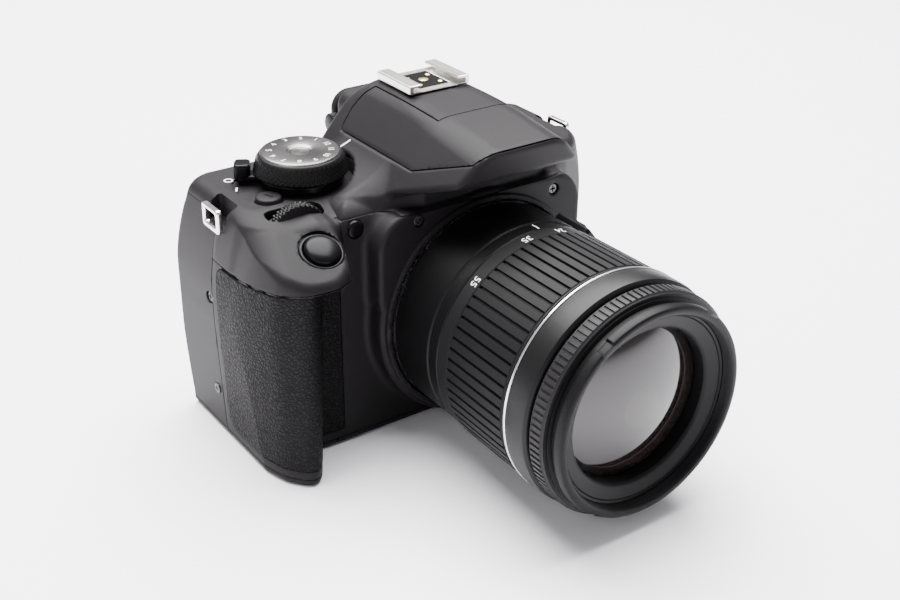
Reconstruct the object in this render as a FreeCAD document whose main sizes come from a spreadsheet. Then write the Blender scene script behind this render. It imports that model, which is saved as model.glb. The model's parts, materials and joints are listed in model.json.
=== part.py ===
import FreeCAD, Part

import os
import re

import Sketcher
from FreeCAD import Rotation, Vector

# A digital single-lens reflex camera with a standard zoom lens.
# The origin is the tripod socket's axis on the base plane.  +Z is up, the lens points to -Y
# and +X is to the right of someone who faces the lens.  All sizes are in millimetres.

SIZES = {
    # camera body
    "left_side": -75.0,
    "right_side": 54.0,
    "rear_face": 33.5,
    "deck_height": 77.0,
    "wall": 2.4,
    "rubber_thickness": 1.2,
    "base_thickness": 2.2,
    "top_split": 73.0,
    "rear_split": 10.0,
    "seam_gap": 0.3,
    # plan of the body, going round from the right shoulder to the grip
    "right_cheek_y": -2.0,
    "shoulder_half": 30.0,
    "front_face_y": -18.0,
    "grip_root_x": -50.0,
    "grip_root_y": -12.0,
    "grip_tip_x": -54.0,
    "grip_front_y": -29.0,
    "grip_nose_x": -67.0,
    "grip_cheek_y": -14.0,
    "grip_top_right": -46.4,
    "grip_top_front": -32.0,
    "grip_top_low": 60.5,
    "grip_slope_y": -6.0,
    "grip_slope_drop": 14.0,
    "grip_slope_run": 28.0,
    # hump with the flash lid and the hot shoe
    "hump_foot": 68.0,
    "hump_foot_half": 38.0,
    "hump_seam": 85.0,
    "hump_seam_half": 24.0,
    "roof_edge": 96.5,
    "roof_edge_half": 15.0,
    "roof_top": 98.6,
    "roof_half": 12.6,
    "hump_rear": 30.0,
    "hump_taper_y": -14.0,
    "nose_front": -39.8,
    "nose_half": 17.0,
    "chin_y": -36.5,
    "tongue_half": 12.1,
    "tongue_front": -14.0,
    "flash_pivot_y": 12.6,
    "flash_pivot_z": 90.2,
    "flash_pin_radius": 1.2,
    "lid_relief_radius": 9.9,
    "eyepiece_half": 17.0,
    "eyepiece_rear": 36.5,
    "eyepiece_low": 68.0,
    "eyepiece_high": 92.0,
    "eyepiece_axis_z": 78.0,
    "eyecup_rear": 40.6,
    # hot shoe, to the usual accessory shoe sizes
    "shoe_half": 10.7,
    "shoe_front": 3.0,
    "shoe_rear": 21.0,
    "shoe_top": 101.3,
    "shoe_lip_half": 6.5,
    "shoe_slot_half": 9.35,
    "shoe_floor": 0.6,
    "shoe_lip": 0.7,
    # lens axis, mount and lens
    "lens_axis_z": 37.5,
    "flange_y": -22.0,
    "boss_radius": 35.4,
    "mount_radius": 33.0,
    "throat_radius": 27.1,
    "mount_thickness": 1.9,
    "bayonet_radius": 26.7,
    "bayonet_bore": 21.5,
    "bayonet_depth": 5.0,
    "barrel_radius": 33.1,
    "barrel_front": -44.0,
    "guide_outer": 30.5,
    "guide_inner": 29.3,
    "zoom_rear": -44.4,
    "zoom_front": -76.4,
    "zoom_inner": 30.9,
    "zoom_rear_radius": 33.4,
    "zoom_front_radius": 34.0,
    "zoom_groove": 0.7,
    "band_rear": -76.8,
    "band_front": -85.6,
    "band_radius": 34.25,
    "inner_outer": 29.0,
    "inner_bore": 27.6,
    "inner_rear": -52.0,
    "inner_front": -88.0,
    "sleeve_outer": 27.3,
    "sleeve_bore": 26.0,
    "focus_rear": -86.2,
    "focus_step": -91.6,
    "focus_radius": 33.4,
    "rim_radius": 31.4,
    "lens_front": -97.2,
    "filter_radius": 28.5,
    "filter_depth": 3.2,
    "name_ring_bore": 23.1,
    "glass_radius": 23.0,
    "rear_glass_radius": 13.0,
    # controls on the top
    "dial_x": -43.2,
    "dial_y": 11.5,
    "dial_top": 86.2,
    "dial_top_radius": 11.8,
    "dial_radius": 14.0,
    "dial_low": 79.8,
    "dial_shaft": 3.0,
    "running_gap": 0.05,
    "lever_low": 77.2,
    "lever_high": 79.4,
    "lever_radius": 12.4,
    "shutter_x": -55.0,
    "shutter_y": -20.5,
    "shutter_radius": 5.2,
    "wheel_x": -55.0,
    "wheel_y": -6.5,
    "wheel_z": 69.0,
    "wheel_radius": 9.5,
    "wheel_half": 1.9,
    "flash_button_x": -58.0,
    "flash_button_y": 4.0,
    "flash_button_radius": 3.8,
    # strap lugs
    "lug_low": 69.4,
    "lug_high": 76.4,
    "lug_front": 5.0,
    "lug_rear": 15.0,
    # mirror box and what is behind it
    "box_half": 19.0,
    "box_bore_half": 16.5,
    "box_low": 22.0,
    "box_floor": 24.5,
    "box_ceiling": 51.0,
    "box_high": 53.0,
    "box_front": -16.6,
    "box_rear": 12.2,
    "mirror_pivot_y": 10.4,
    "mirror_pivot_z": 48.2,
    "mirror_length": 28.0,
    "mirror_half": 13.0,
    "mirror_thickness": 1.2,
    "pivot_radius": 0.8,
    "pin_x": 30.0,
    "pin_radius": 1.2,
    "sub_pivot_along": 13.5,
    "sub_pivot_below": 1.6,
    "sub_length": 9.0,
    "sub_half": 7.0,
    "shutter_front_y": 15.6,
    "shutter_rear_y": 20.6,
    "gate_half": 12.2,
    "gate_height": 16.4,
    "curtain_half": 14.4,
    "curtain_height": 17.0,
    "sensor_y": 22.0,
    "board_y": 25.4,
    "board_half": 46.0,
    "board_low": 6.0,
    "board_high": 68.0,
    "board_thick": 1.4,
    "penta_half": 15.0,
    "penta_top_half": 7.0,
    "penta_wall": 13.0,
    "penta_height": 28.5,
    "penta_front": -11.0,
    "penta_rear": 12.0,
    "sensor_half": 15.0,
    "sensor_tall_half": 12.0,
    "sensor_thick": 2.4,
    # rear screen and keys
    "screen_left": -20.5,
    "screen_right": 46.5,
    "screen_low": 9.0,
    "screen_high": 60.0,
    "screen_proud": 1.2,
    "key_proud": 0.9,
    "key_flange": 0.8,
    # power, card, doors
    "battery_x": -71.4,
    "battery_thick": 14.8,
    "battery_y": -13.2,
    "battery_wide": 36.2,
    "battery_tall": 49.0,
    "door_left": -72.0,
    "door_right": -50.6,
    "door_front": -14.0,
    "door_rear": 24.0,
    "door_thickness": 2.0,
    "socket_outer": 5.6,
    "socket_bore": 2.6,
    "socket_length": 7.0,
    # small controls and openings
    "wheel_axle": 1.2,
    "dioptre_y": 34.2,
    "dioptre_z": 82.0,
    "dioptre_radius": 3.4,
    "dioptre_shaft": 1.0,
    "release_x": 42.5,
    "release_z": 33.0,
    "release_radius": 5.0,
    "terminal_thickness": 1.5,
    "terminal_front": 1.0,
    "terminal_rear": 22.0,
    "terminal_low": 22.0,
    "terminal_high": 60.0,
    "rubber_low": 5.0,
    "rubber_high": 58.0,
    "rubber_rear": 7.0,
    "cap_low": 60.0,
    # fasteners
    "screw_head": 1.6,
    "screw_head_height": 1.1,
    "screw_shank": 0.8,
    "screw_length": 2.2,
}

doc = FreeCAD.newDocument("camera")
sheet = doc.addObject("Spreadsheet::Sheet", "Dims")
for row, (alias, number) in enumerate(SIZES.items(), start=1):
    sheet.set(f"A{row}", alias)
    sheet.set(f"B{row}", str(number))
    sheet.setAlias(f"B{row}", alias)
doc.recompute()

NODES = []


# ---------------------------------------------------------------- building helpers

def formula(text):
    """A formula in plain words, with each word read from the sheet of dimensions."""
    return re.sub(r"[a-z][a-z_0-9]*", lambda word: "Dims." + word.group(0), str(text))


def bind(item, prop, text):
    item.setExpression(prop, formula(text))


def node(item, label):
    """Marks a finished sub-part: its label is the name of its file."""
    item.Label = label
    NODES.append(item)
    return item


def place(item, corner):
    for letter, text in zip("xyz", corner):
        bind(item, f"Placement.Base.{letter}", text)
    return item


def box(name, low, high):
    """Box between two corners, each given as three formulas."""
    item = doc.addObject("Part::Box", name)
    for prop, start, end in zip(("Length", "Width", "Height"), low, high):
        bind(item, prop, f"({end}) - ({start})")
    return place(item, low)


TURN_TO = {
    "x": Rotation(Vector(0, 1, 0), 90),
    "front": Rotation(Vector(1, 0, 0), 90),
    "z": Rotation(),
}


def cylinder(name, radius, length, base, along="z"):
    """Cylinder that starts at base and runs along +X, towards the front (-Y) or along +Z."""
    item = doc.addObject("Part::Cylinder", name)
    bind(item, "Radius", radius)
    bind(item, "Height", length)
    item.Placement.Rotation = TURN_TO[along]
    return place(item, base)


def fuse(name, shapes):
    item = doc.addObject("Part::MultiFuse", name)
    item.Shapes = shapes
    return item


def common(name, shapes):
    item = doc.addObject("Part::MultiCommon", name)
    item.Shapes = shapes
    return item


def cut(name, base, tools):
    tool = tools[0] if len(tools) == 1 else fuse(name + "_tools", tools)
    item = doc.addObject("Part::Cut", name)
    item.Base = base
    item.Tool = tool
    return item


def group(name, shapes):
    """Several separate solids kept in one sub-part."""
    item = doc.addObject("Part::Compound", name)
    item.Links = shapes
    return item


def origin_item(body, role):
    """One of a body's own origin planes or axes."""
    return next(item for item in body.Origin.OriginFeatures if item.Role == role)


def outline(body, role, name, points, offset="0"):
    """Closed sketch of straight lines through points, each a pair of formulas."""
    sketch = body.newObject("Sketcher::SketchObject", name)
    sketch.AttachmentSupport = [(origin_item(body, role), "")]
    sketch.MapMode = "FlatFace"
    bind(sketch, "AttachmentOffset.Base.z", offset)
    values = [(measure(across), measure(up)) for across, up in points]
    count = len(points)
    for index in range(count):
        start = Vector(*values[index], 0)
        end = Vector(*values[(index + 1) % count], 0)
        sketch.addGeometry(Part.LineSegment(start, end), False)
    for index in range(count):
        sketch.addConstraint(Sketcher.Constraint("Coincident", index, 2, (index + 1) % count, 1))
    for index, point in enumerate(points):
        for kind, axis, text, value in zip(("DistanceX", "DistanceY"), (-2, -1), point, values[index]):
            if value == 0.0:
                sketch.addConstraint(Sketcher.Constraint("PointOnObject", index, 1, axis))
                continue
            number = sketch.addConstraint(Sketcher.Constraint(kind, -1, 1, index, 1, value))
            bind(sketch, f"Constraints[{number}]", text)
    return sketch


def measure(text):
    """The present value of a formula."""
    return float(sheet.evalExpression(formula(text)))


def prism(name, role, start, length, points):
    """PartDesign body: an outline on an origin plane moved by start and padded by length."""
    body = doc.addObject("PartDesign::Body", name)
    sketch = outline(body, role, name + "_outline", points, start)
    pad = body.newObject("PartDesign::Pad", name + "_pad")
    pad.Profile = sketch
    bind(pad, "Length", length)
    return body


def lathe(name, role, points, base, turn_axis):
    """PartDesign body: an outline revolved about the sketch's H_Axis or V_Axis."""
    body = doc.addObject("PartDesign::Body", name)
    sketch = outline(body, role, name + "_outline", points)
    revolution = body.newObject("PartDesign::Revolution", name + "_turn")
    revolution.Profile = sketch
    revolution.ReferenceAxis = (sketch, [turn_axis])
    revolution.Angle = 360
    return place(body, base)


def lens_ring(name, points):
    """Turned part on the lens axis: points are (y, radius)."""
    return lathe(name, "YZ_Plane", points, ("0", "0", "lens_axis_z"), "H_Axis")


def tube(name, rear, front, outer, bore):
    return lens_ring(name, [(rear, bore), (front, bore), (front, outer), (rear, outer)])


def upright_turning(name, points, base):
    """Turned part on an upright axis at base: points are (radius, z)."""
    return lathe(name, "XZ_Plane", points, base, "V_Axis")


def edges_where(shape, test):
    return [number for number, edge in enumerate(shape.Edges, start=1) if test(edge)]


def rounded(name, base, radii):
    """Part::Fillet of a base; radii maps an edge number to its radius."""
    item = doc.addObject("Part::Fillet", name)
    item.Base = base
    item.Edges = [(number, radius, radius) for number, radius in radii.items()]
    return item


# ---------------------------------------------------------------- outer form and hollow

# Corners of a plan: x, y, the two signs by which an inset moves the corner inwards, and its radius.
# A radius below zero is a hollow corner.
BODY_PLAN = (
    ("left_side", "rear_face", 1, -1, 6.0),
    ("right_side", "rear_face", -1, -1, 6.0),
    ("right_side", "right_cheek_y", -1, 0.6, 9.0),
    ("shoulder_half", "front_face_y", -0.3, 1, 4.0),
    ("-shoulder_half", "front_face_y", 0.1, 1, 4.0),
    ("grip_root_x", "grip_root_y", -1, 1, -5.0),
    ("grip_tip_x", "grip_front_y", -1, 1, 5.0),
    ("grip_nose_x", "grip_front_y", 0.6, 1, 7.0),
    ("left_side", "grip_cheek_y", 1, 0.6, 9.0),
)
GRIP_TOP_PLAN = (
    ("left_side + 1", "-2", 1, -1, 1.0),
    ("grip_top_right", "-2", -1, -1, 1.0),
    ("grip_top_right", "grip_top_front + 6", -1, 0.4, 5.0),
    ("grip_top_right - 5", "grip_top_front", -0.4, 1, 4.0),
    ("grip_nose_x + 4", "grip_top_front", 0.5, 1, 5.0),
    ("left_side + 1", "grip_cheek_y + 2", 1, 0.6, 8.0),
)


def block(name, plan, inset, low, high):
    """A plan raised between two heights, with its upright corners rounded."""
    points = [(f"{x} + {sx} * {inset}", f"{y} + {sy} * {inset}") for x, y, sx, sy, _ in plan]
    body = prism(name + "_block", "XY_Plane", low, f"{high} - {low}", points)
    doc.recompute()
    corners = [(measure(x), measure(y)) for x, y in points]
    depth = measure(inset)
    radii = {}
    for number, edge in enumerate(body.Shape.Edges, start=1):
        first, last = edge.Vertexes[0].Point, edge.Vertexes[-1].Point
        if abs(first.x - last.x) + abs(first.y - last.y) > 1e-6:
            continue
        for (x, y), (*_, radius) in zip(corners, plan):
            if abs(first.x - x) + abs(first.y - y) < 1e-4:
                radii[number] = max(abs(radius - depth), 0.8)
    return rounded(name, body, radii)


def grip_slope(name, drop):
    """Wedge that slopes the grip's top down towards the shutter button."""
    low = f"deck_height - {drop}"
    points = [
        ("grip_slope_y", low),
        ("grip_slope_y - 1.2 * grip_slope_run", f"{low} - 1.2 * grip_slope_drop"),
        ("grip_slope_y - 1.2 * grip_slope_run", "roof_top"),
        ("grip_slope_y", "roof_top"),
    ]
    return prism(name, "YZ_Plane", "left_side - 5", "grip_top_right - left_side + 5.4", points)


def hump(name, inset):
    """Hump over the viewfinder: where its front view, plan and side view meet."""
    front_view = [
        (f"-hump_foot_half + 1.2 * {inset}", "hump_foot"),
        (f"-hump_seam_half + 1.2 * {inset}", "hump_seam"),
        (f"-roof_edge_half + 1.1 * {inset}", f"roof_edge - 0.6 * {inset}"),
        (f"-roof_half + 0.6 * {inset}", f"roof_top - {inset}"),
        (f"roof_half - 0.6 * {inset}", f"roof_top - {inset}"),
        (f"roof_edge_half - 1.1 * {inset}", f"roof_edge - 0.6 * {inset}"),
        (f"hump_seam_half - 1.2 * {inset}", "hump_seam"),
        (f"hump_foot_half - 1.2 * {inset}", "hump_foot"),
    ]
    plan = [
        (f"-hump_foot_half - 2 + {inset}", f"hump_rear - {inset}"),
        (f"-hump_foot_half - 2 + {inset}", f"hump_taper_y + 0.4 * {inset}"),
        (f"-nose_half + 0.4 * {inset}", f"nose_front - 1 + {inset}"),
        (f"nose_half - 0.4 * {inset}", f"nose_front - 1 + {inset}"),
        (f"hump_foot_half + 2 - {inset}", f"hump_taper_y + 0.4 * {inset}"),
        (f"hump_foot_half + 2 - {inset}", f"hump_rear - {inset}"),
    ]
    side_view = [
        (f"hump_rear - {inset}", "hump_foot"),
        (f"hump_rear - {inset}", "roof_top - 6"),
        (f"shoe_rear + 1.5 - 0.4 * {inset}", f"roof_top - {inset}"),
        ("tongue_front", f"roof_top - {inset}"),
        (f"nose_front + 1.4 + {inset}", f"roof_edge - 1 - {inset}"),
        (f"nose_front + {inset}", f"roof_edge - 2.2 - {inset}"),
        (f"chin_y + {inset}", f"hump_seam + 0.6 * {inset}"),
        (f"front_face_y - 1.5 + {inset}", f"top_split - 1.5 + 0.9 * {inset}"),
        (f"front_face_y + {inset}", "hump_foot"),
    ]
    return common(name, [
        prism(name + "_front_view", "XZ_Plane", "-hump_rear - 2", "hump_rear - nose_front + 4", front_view),
        prism(name + "_plan", "XY_Plane", "hump_foot - 1", "roof_top - hump_foot + 2", plan),
        prism(name + "_side_view", "YZ_Plane", "-hump_foot_half - 3", "2 * hump_foot_half + 6", side_view),
    ])


def flash_outline(gap):
    """Side view of the flash lid's space; gap draws it in for the lid itself."""
    return [
        (f"flash_pivot_y + 4.6 - {gap}", "roof_top + 4"),
        (f"flash_pivot_y + 5.2 - {gap}", "flash_pivot_z + 2"),
        (f"flash_pivot_y + 5.2 - {gap}", "flash_pivot_z - 1"),
        (f"flash_pivot_y + 2.6 - 0.4 * {gap}", f"flash_pivot_z - 4.6 + {gap}"),
        ("flash_pivot_y", f"hump_seam + {gap}"),
        ("-18", f"hump_seam + {gap}"),
        ("-25", f"hump_seam + 1.6 + {gap}"),
        (f"nose_front + 2.4 + {gap}", f"roof_edge - 1.6 + {gap}"),
        (f"nose_front - 1 + {gap}", "roof_top + 4"),
    ]


main_form = cut("main_form", fuse("main_whole", [
    block("main_full", BODY_PLAN, "0", "0", "deck_height"),
    block("grip_top_full", GRIP_TOP_PLAN, "0", "grip_top_low", "deck_height"),
]), [grip_slope("grip_slope", "0")])
rubber_form = block("rubber_form", BODY_PLAN, "rubber_thickness", "0", "deck_height")
main_hollow = cut("main_hollow", fuse("hollow_whole", [
    block("hollow_full", BODY_PLAN, "wall", "base_thickness", "deck_height - base_thickness"),
    block("grip_top_hollow", GRIP_TOP_PLAN, "wall", "grip_top_low + wall", "deck_height - base_thickness"),
]), [grip_slope("hollow_slope", "base_thickness + 0.2")])
mount_boss = cylinder(
    "mount_boss", "boss_radius", "-flange_y - mount_thickness - 0.1", ("0", "0", "lens_axis_z"), "front"
)
eyepiece_housing = box(
    "eyepiece_housing",
    ("-eyepiece_half", "hump_rear - 6", "eyepiece_low"),
    ("eyepiece_half", "eyepiece_rear", "eyepiece_high"),
)
hump_form = hump("hump_form", "0")
outer_form = fuse("outer_form", [main_form, mount_boss, hump_form, eyepiece_housing])

hump_hollow = common("hump_hollow", [
    hump("hump_inside", "wall"),
    box(
        "hump_hollow_limit",
        ("-hump_foot_half", "tongue_front + 0.5", "hump_foot - 2"),
        ("hump_foot_half", "hump_rear + 5", "hump_seam - wall"),
    ),
])
tongue_hollow = box(
    "tongue_hollow",
    ("-tongue_half + wall", "tongue_front + wall", "hump_seam - wall - 1"),
    ("tongue_half - wall", "shoe_rear", "roof_top - wall"),
)
flash_well = common("flash_well", [
    hump("well_inside", "wall"),
    box(
        "flash_well_limit",
        ("-roof_edge_half - 1", "nose_front", "deck_height + 1"),
        ("roof_edge_half + 1", "tongue_front - 1.2", "roof_top + 5"),
    ),
])
eyepiece_bore = cylinder("eyepiece_bore", "8.6", "25", ("0", "eyepiece_rear + 1", "eyepiece_axis_z"), "front")
flash_space = prism(
    "flash_space", "YZ_Plane", "-hump_seam_half - 4", "2 * hump_seam_half + 8", flash_outline("0")
)
tongue = box(
    "tongue",
    ("-tongue_half", "tongue_front", "hump_foot"),
    ("tongue_half", "hump_rear + 1", "roof_top + 6"),
)
lid_space = cut("lid_space", flash_space, [tongue])
lid_relief = common("lid_relief", [
    group("lid_relief_rounds", [
        cylinder(
            "lid_relief_" + side, "lid_relief_radius", "hump_seam_half - tongue_half + 1",
            (start, "flash_pivot_y", "flash_pivot_z"), "x",
        )
        for side, start in (("left", "-hump_seam_half - 1"), ("right", "tongue_half"))
    ]),
    box(
        "lid_relief_limit",
        ("-hump_foot_half", "-hump_rear", "hump_seam - 0.6"),
        ("hump_foot_half", "2 * hump_rear", "roof_top + 5"),
    ),
])
throat = cylinder("throat", "mount_radius + 0.1", "40", ("0", "5", "lens_axis_z"), "front")


def lug_box(name, side, grow):
    """Space round a strap lug on the left (-1) or right (1) side, grown by grow."""
    edge = "-left_side" if side < 0 else "right_side"
    near = f"{side} * ({edge} - 8.5) - {grow} * {side}"
    far = f"{side} * ({edge} + 2)"
    low, high = (far, near) if side < 0 else (near, far)
    return box(
        name,
        (low, f"lug_front - 1.5 - {grow}", f"lug_low - 0.4 - {grow}"),
        (high, f"lug_rear + 1.5 + {grow}", "deck_height + 3"),
    )


lug_walls = common("lug_walls", [
    main_form,
    group("lug_wall_boxes", [lug_box("lug_wall_left", -1, "1.6"), lug_box("lug_wall_right", 1, "1.6")]),
])
lug_pockets = [lug_box("lug_pocket_left", -1, "0"), lug_box("lug_pocket_right", 1, "0")]
hollow = cut("hollow", fuse("hollow_parts", [main_hollow, hump_hollow]), [lug_walls])
shell = cut("shell", outer_form, [
    hollow, tongue_hollow, flash_well, eyepiece_bore, lid_space, lid_relief, throat, *lug_pockets,
])


# ---------------------------------------------------------------- holes that the covers need

def slope_z(y):
    """Height of the sloped grip top at a depth y."""
    return f"deck_height - (grip_slope_y - ({y})) * grip_slope_drop / grip_slope_run"


SLOPE_TURN = Rotation(Vector(0, 1, 0), Vector(0, measure("grip_slope_run"), measure("grip_slope_drop")))


def on_slope(item):
    """Stands a piece made at the origin on the grip's slope, at the shutter button's place."""
    item.Placement.Rotation = SLOPE_TURN
    return place(item, ("shutter_x", "shutter_y", slope_z("shutter_y")))


KEYS = {
    "live_view_button": (-27.0, 67.5, 3.2),
    "ae_lock_button": (-56.5, 66.5, 2.6),
    "af_point_button": (-66.5, 64.5, 2.6),
    "exposure_button": (-31.0, 54.0, 2.9),
    "quick_button": (-43.0, 50.5, 2.9),
    "set_button": (-43.0, 33.0, 4.0),
    "up_button": (-43.0, 41.6, 2.9),
    "down_button": (-43.0, 24.4, 2.9),
    "left_button": (-34.4, 33.0, 2.9),
    "right_button": (-51.6, 33.0, 2.9),
    "play_button": (-31.0, 12.0, 2.9),
    "menu_button": (-43.0, 12.0, 2.9),
}
SCREWS = (
    ("front", 26.0, "front_face_y", 68.6),
    ("front", -23.0, "front_face_y", 70.4),
    ("left", "left_side", 12.2, 47.0),
    ("left", "left_side", 17.6, 9.0),
    ("below", -40.0, 27.0, "0"),
    ("below", 42.0, 27.0, "0"),
    ("below", 42.0, -4.0, "0"),
    ("below", -32.0, -10.0, "0"),
)
SCREW_TURN = {
    "front": Rotation(Vector(1, 0, 0), 90),
    "left": Rotation(Vector(0, 1, 0), -90),
    "below": Rotation(Vector(1, 0, 0), 180),
}


def screw(name, number, gap):
    """Screw whose head's top lies in the face that it holds; gap makes its hole."""
    face, x, y, z = SCREWS[number]
    body = upright_turning(f"{name}_{number}", [
        ("0", f"-screw_head_height - screw_length - {gap}"),
        (f"screw_shank + {gap}", f"-screw_head_height - screw_length - {gap}"),
        (f"screw_shank + {gap}", f"-screw_head_height - {gap}"),
        (f"screw_head + {gap}", f"-screw_head_height - {gap}"),
        (f"screw_head + {gap}", f"20 * {gap}"),
        ("0", f"20 * {gap}"),
    ], (x, y, z))
    body.Placement.Rotation = SCREW_TURN[face]
    return body


screw_holes = [screw("screw_hole", number, "running_gap") for number in range(len(SCREWS))]
key_holes = [
    cylinder(name + "_hole", radius + 0.15, "8", (x, "rear_face + 3", z), "front")
    for name, (x, z, radius) in KEYS.items()
]
screen_opening = box(
    "screen_opening",
    ("screen_left", "rear_face - wall - 1", "screen_low"),
    ("screen_right", "rear_face + 3", "screen_high"),
)
shutter_hole = on_slope(group("shutter_hole", [
    cylinder("shutter_hole_round", "shutter_radius + 0.15", "12", ("0", "0", "-6")),
]))
wheel_slot = box(
    "wheel_slot",
    ("wheel_x - 8.5", "wheel_y - wheel_half - 0.3", "wheel_z"),
    ("wheel_x + 8.5", "wheel_y + wheel_half + 0.3", "deck_height + 3"),
)
wheel_bearing = cylinder(
    "wheel_bearing", "wheel_axle + running_gap", "8", ("wheel_x", "wheel_y + 6", "wheel_z"), "front"
)
wheel_cheek = box(
    "wheel_cheek",
    ("wheel_x - 2.6", "wheel_y + wheel_half + 0.4", "wheel_z - 2.6"),
    ("wheel_x + 2.6", "wheel_y + wheel_half + 2.2", "deck_height - 1"),
)
flash_button_hole = cylinder(
    "flash_button_hole", "flash_button_radius + 0.15", "8", ("flash_button_x", "flash_button_y", "73")
)
dial_bearing = cylinder("dial_bearing", "dial_shaft + running_gap", "9", ("dial_x", "dial_y", "72"))
flash_pin_hole = cylinder(
    "flash_pin_hole", "flash_pin_radius + 0.02", "60", ("-30", "flash_pivot_y", "flash_pivot_z"), "x"
)
dioptre_hole = cylinder(
    "dioptre_hole", "dioptre_shaft + running_gap", "9", ("-22", "dioptre_y", "dioptre_z"), "x"
)
release_hole = cylinder(
    "release_hole", "release_radius + 0.15", "30", ("release_x", "0", "release_z"), "front"
)
terminal_recess = box(
    "terminal_recess",
    ("right_side - terminal_thickness - 0.15", "terminal_front - 0.2", "terminal_low - 0.2"),
    ("right_side + 2", "terminal_rear + 1.9", "terminal_high + 0.2"),
)

# ---------------------------------------------------------------- covers

skin = cut("skin", main_form, [rubber_form])
grip_rubber = node(common("grip_rubber_skin", [
    skin,
    box(
        "grip_rubber_limit",
        ("left_side - 5", "-60", "rubber_low"),
        ("grip_root_x - 0.6", "rubber_rear", "rubber_high"),
    ),
]), "grip_rubber")

grip_cap = box(
    "grip_cap",
    ("left_side - 6", "-61", "cap_low"),
    ("grip_top_right + 0.4", "grip_slope_y", "top_split + 1"),
)
upper_region = fuse("upper_region", [
    grip_cap,
    box("upper_box", ("left_side - 5", "-60", "top_split"), ("right_side + 5", "60", "roof_top + 10")),
])
front_region = cut(
    "front_region",
    box(
        "front_box",
        ("left_side - 5", "-60", "base_thickness"),
        ("right_side + 5", "rear_split", "top_split"),
    ),
    [grip_cap],
)
rear_region = box(
    "rear_region", ("left_side - 5", "rear_split", "base_thickness"), ("right_side + 5", "60", "top_split")
)
lower_region = box("lower_region", ("left_side - 5", "-60", "-5"), ("right_side + 5", "60", "base_thickness"))

front_cover = node(cut(
    "front_cover_cut",
    common("front_cover_shell", [shell, front_region]),
    [grip_rubber, release_hole, terminal_recess, *screw_holes[:2]],
), "front_cover")
rear_cover = node(cut(
    "rear_cover_cut",
    common("rear_cover_shell", [shell, rear_region]),
    [screen_opening, terminal_recess, *screw_holes[2:4], *key_holes],
), "rear_cover")
top_cover = node(cut(
    "top_cover_cut",
    fuse("top_cover_whole", [common("top_cover_shell", [shell, upper_region]), wheel_cheek]),
    [
        shutter_hole, wheel_slot, wheel_bearing, flash_button_hole, dial_bearing, flash_pin_hole,
        dioptre_hole,
    ],
), "top_cover")
door_space = box(
    "door_space",
    ("door_left - 0.3", "door_front - 0.3", "-1"),
    ("door_right + 0.4", "door_rear + 0.3", "base_thickness + 1"),
)
door_groove = cylinder(
    "door_groove", "1.7", "door_rear - door_front + 0.6",
    ("door_right + 0.6", "door_rear + 0.3", "1.1"), "front",
)
socket_hole = cylinder("socket_hole", "socket_outer + 0.02", "10", ("0", "0", "-5"))
bottom_cover = node(cut(
    "bottom_cover_cut",
    common("bottom_cover_plate", [outer_form, lower_region]),
    [door_space, door_groove, socket_hole, *screw_holes[4:]],
), "bottom_cover")

screws = node(group("screw_set", [screw("screw", number, "0") for number in range(len(SCREWS))]), "screws")


# ---------------------------------------------------------------- frame, optics and electronics

front_ring = tube(
    "front_ring",
    "-18",
    "flange_y + mount_thickness",
    "mount_radius - 0.1",
    "throat_radius + 0.1",
)
posts = [
    box(
        f"post_{number}",
        (f"{x}", "-18", f"lens_axis_z + {z}"),
        (f"{x} + 4", "box_rear + 0.4", f"lens_axis_z + {z} + 3.5"),
    )
    for number, (x, z) in enumerate(((20.4, 17.5), (-24.4, 17.5), (20.4, -21), (-24.4, -21)))
]
rear_plate = cut(
    "rear_plate",
    box("rear_plate_full", ("-46", "box_rear + 0.4", "4"), ("44", "box_rear + 1.6", "67")),
    [
        box("rear_plate_window", ("-17", "box_rear", "box_floor"), ("17", "box_rear + 3", "box_high")),
    ],
)
foot_plate = box(
    "foot_plate",
    ("-24", "-12", "base_thickness + 0.8"),
    ("24", "box_rear + 0.4", "base_thickness + 2"),
)
pin_hole = cylinder("pin_hole", "pin_radius + 0.1", "26", ("pin_x", "0", "lens_axis_z"), "front")
chassis = node(cut(
    "chassis_cut",
    fuse("chassis_whole", [front_ring, rear_plate, foot_plate, *posts]),
    [socket_hole, pin_hole],
), "chassis")

mirror_box = node(cut(
    "mirror_box_cut",
    box("mirror_box_full", ("-box_half", "box_front", "box_low"), ("box_half", "box_rear", "box_high")),
    [
        box(
            "mirror_box_bore",
            ("-box_bore_half", "box_front - 1", "box_floor"),
            ("box_bore_half", "box_rear + 1", "box_ceiling"),
        ),
        box("mirror_box_window", ("-mirror_half", "-9", "box_floor"), ("mirror_half", "11", "box_high + 1")),
        cylinder(
            "mirror_pivot_hole", "pivot_radius + running_gap", "50",
            ("-25", "mirror_pivot_y", "mirror_pivot_z"), "x",
        ),
    ],
), "mirror_box")

MIRROR_REST = Rotation(Vector(1, 0, 0), 45)
SUB_MIRROR_REST = Rotation(Vector(1, 0, 0), -45)
mirror_plate = box(
    "mirror_plate",
    ("-mirror_half", "-mirror_length", "-mirror_thickness / 2"),
    ("mirror_half", "0", "mirror_thickness / 2"),
)
mirror_pin = cylinder("mirror_pin", "pivot_radius", "2 * box_half - 1", ("-box_half + 0.5", "0", "0"), "x")
mirror_ears = [
    box(
        f"mirror_ear_{side}",
        (start, "-sub_pivot_along - 1.3", "-sub_pivot_below - 1.3"),
        (f"{start} + 1.4", "-sub_pivot_along + 1.3", "0"),
    )
    for side, start in (("left", "-sub_half - 1.8"), ("right", "sub_half + 0.4"))
]
sub_pin_hole = cylinder(
    "sub_pin_hole", "0.55", "40", ("-20", "-sub_pivot_along", "-sub_pivot_below"), "x"
)
mirror = node(cut(
    "mirror_cut", fuse("mirror_whole", [mirror_plate, mirror_pin, *mirror_ears]), [sub_pin_hole]
), "mirror")
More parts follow.
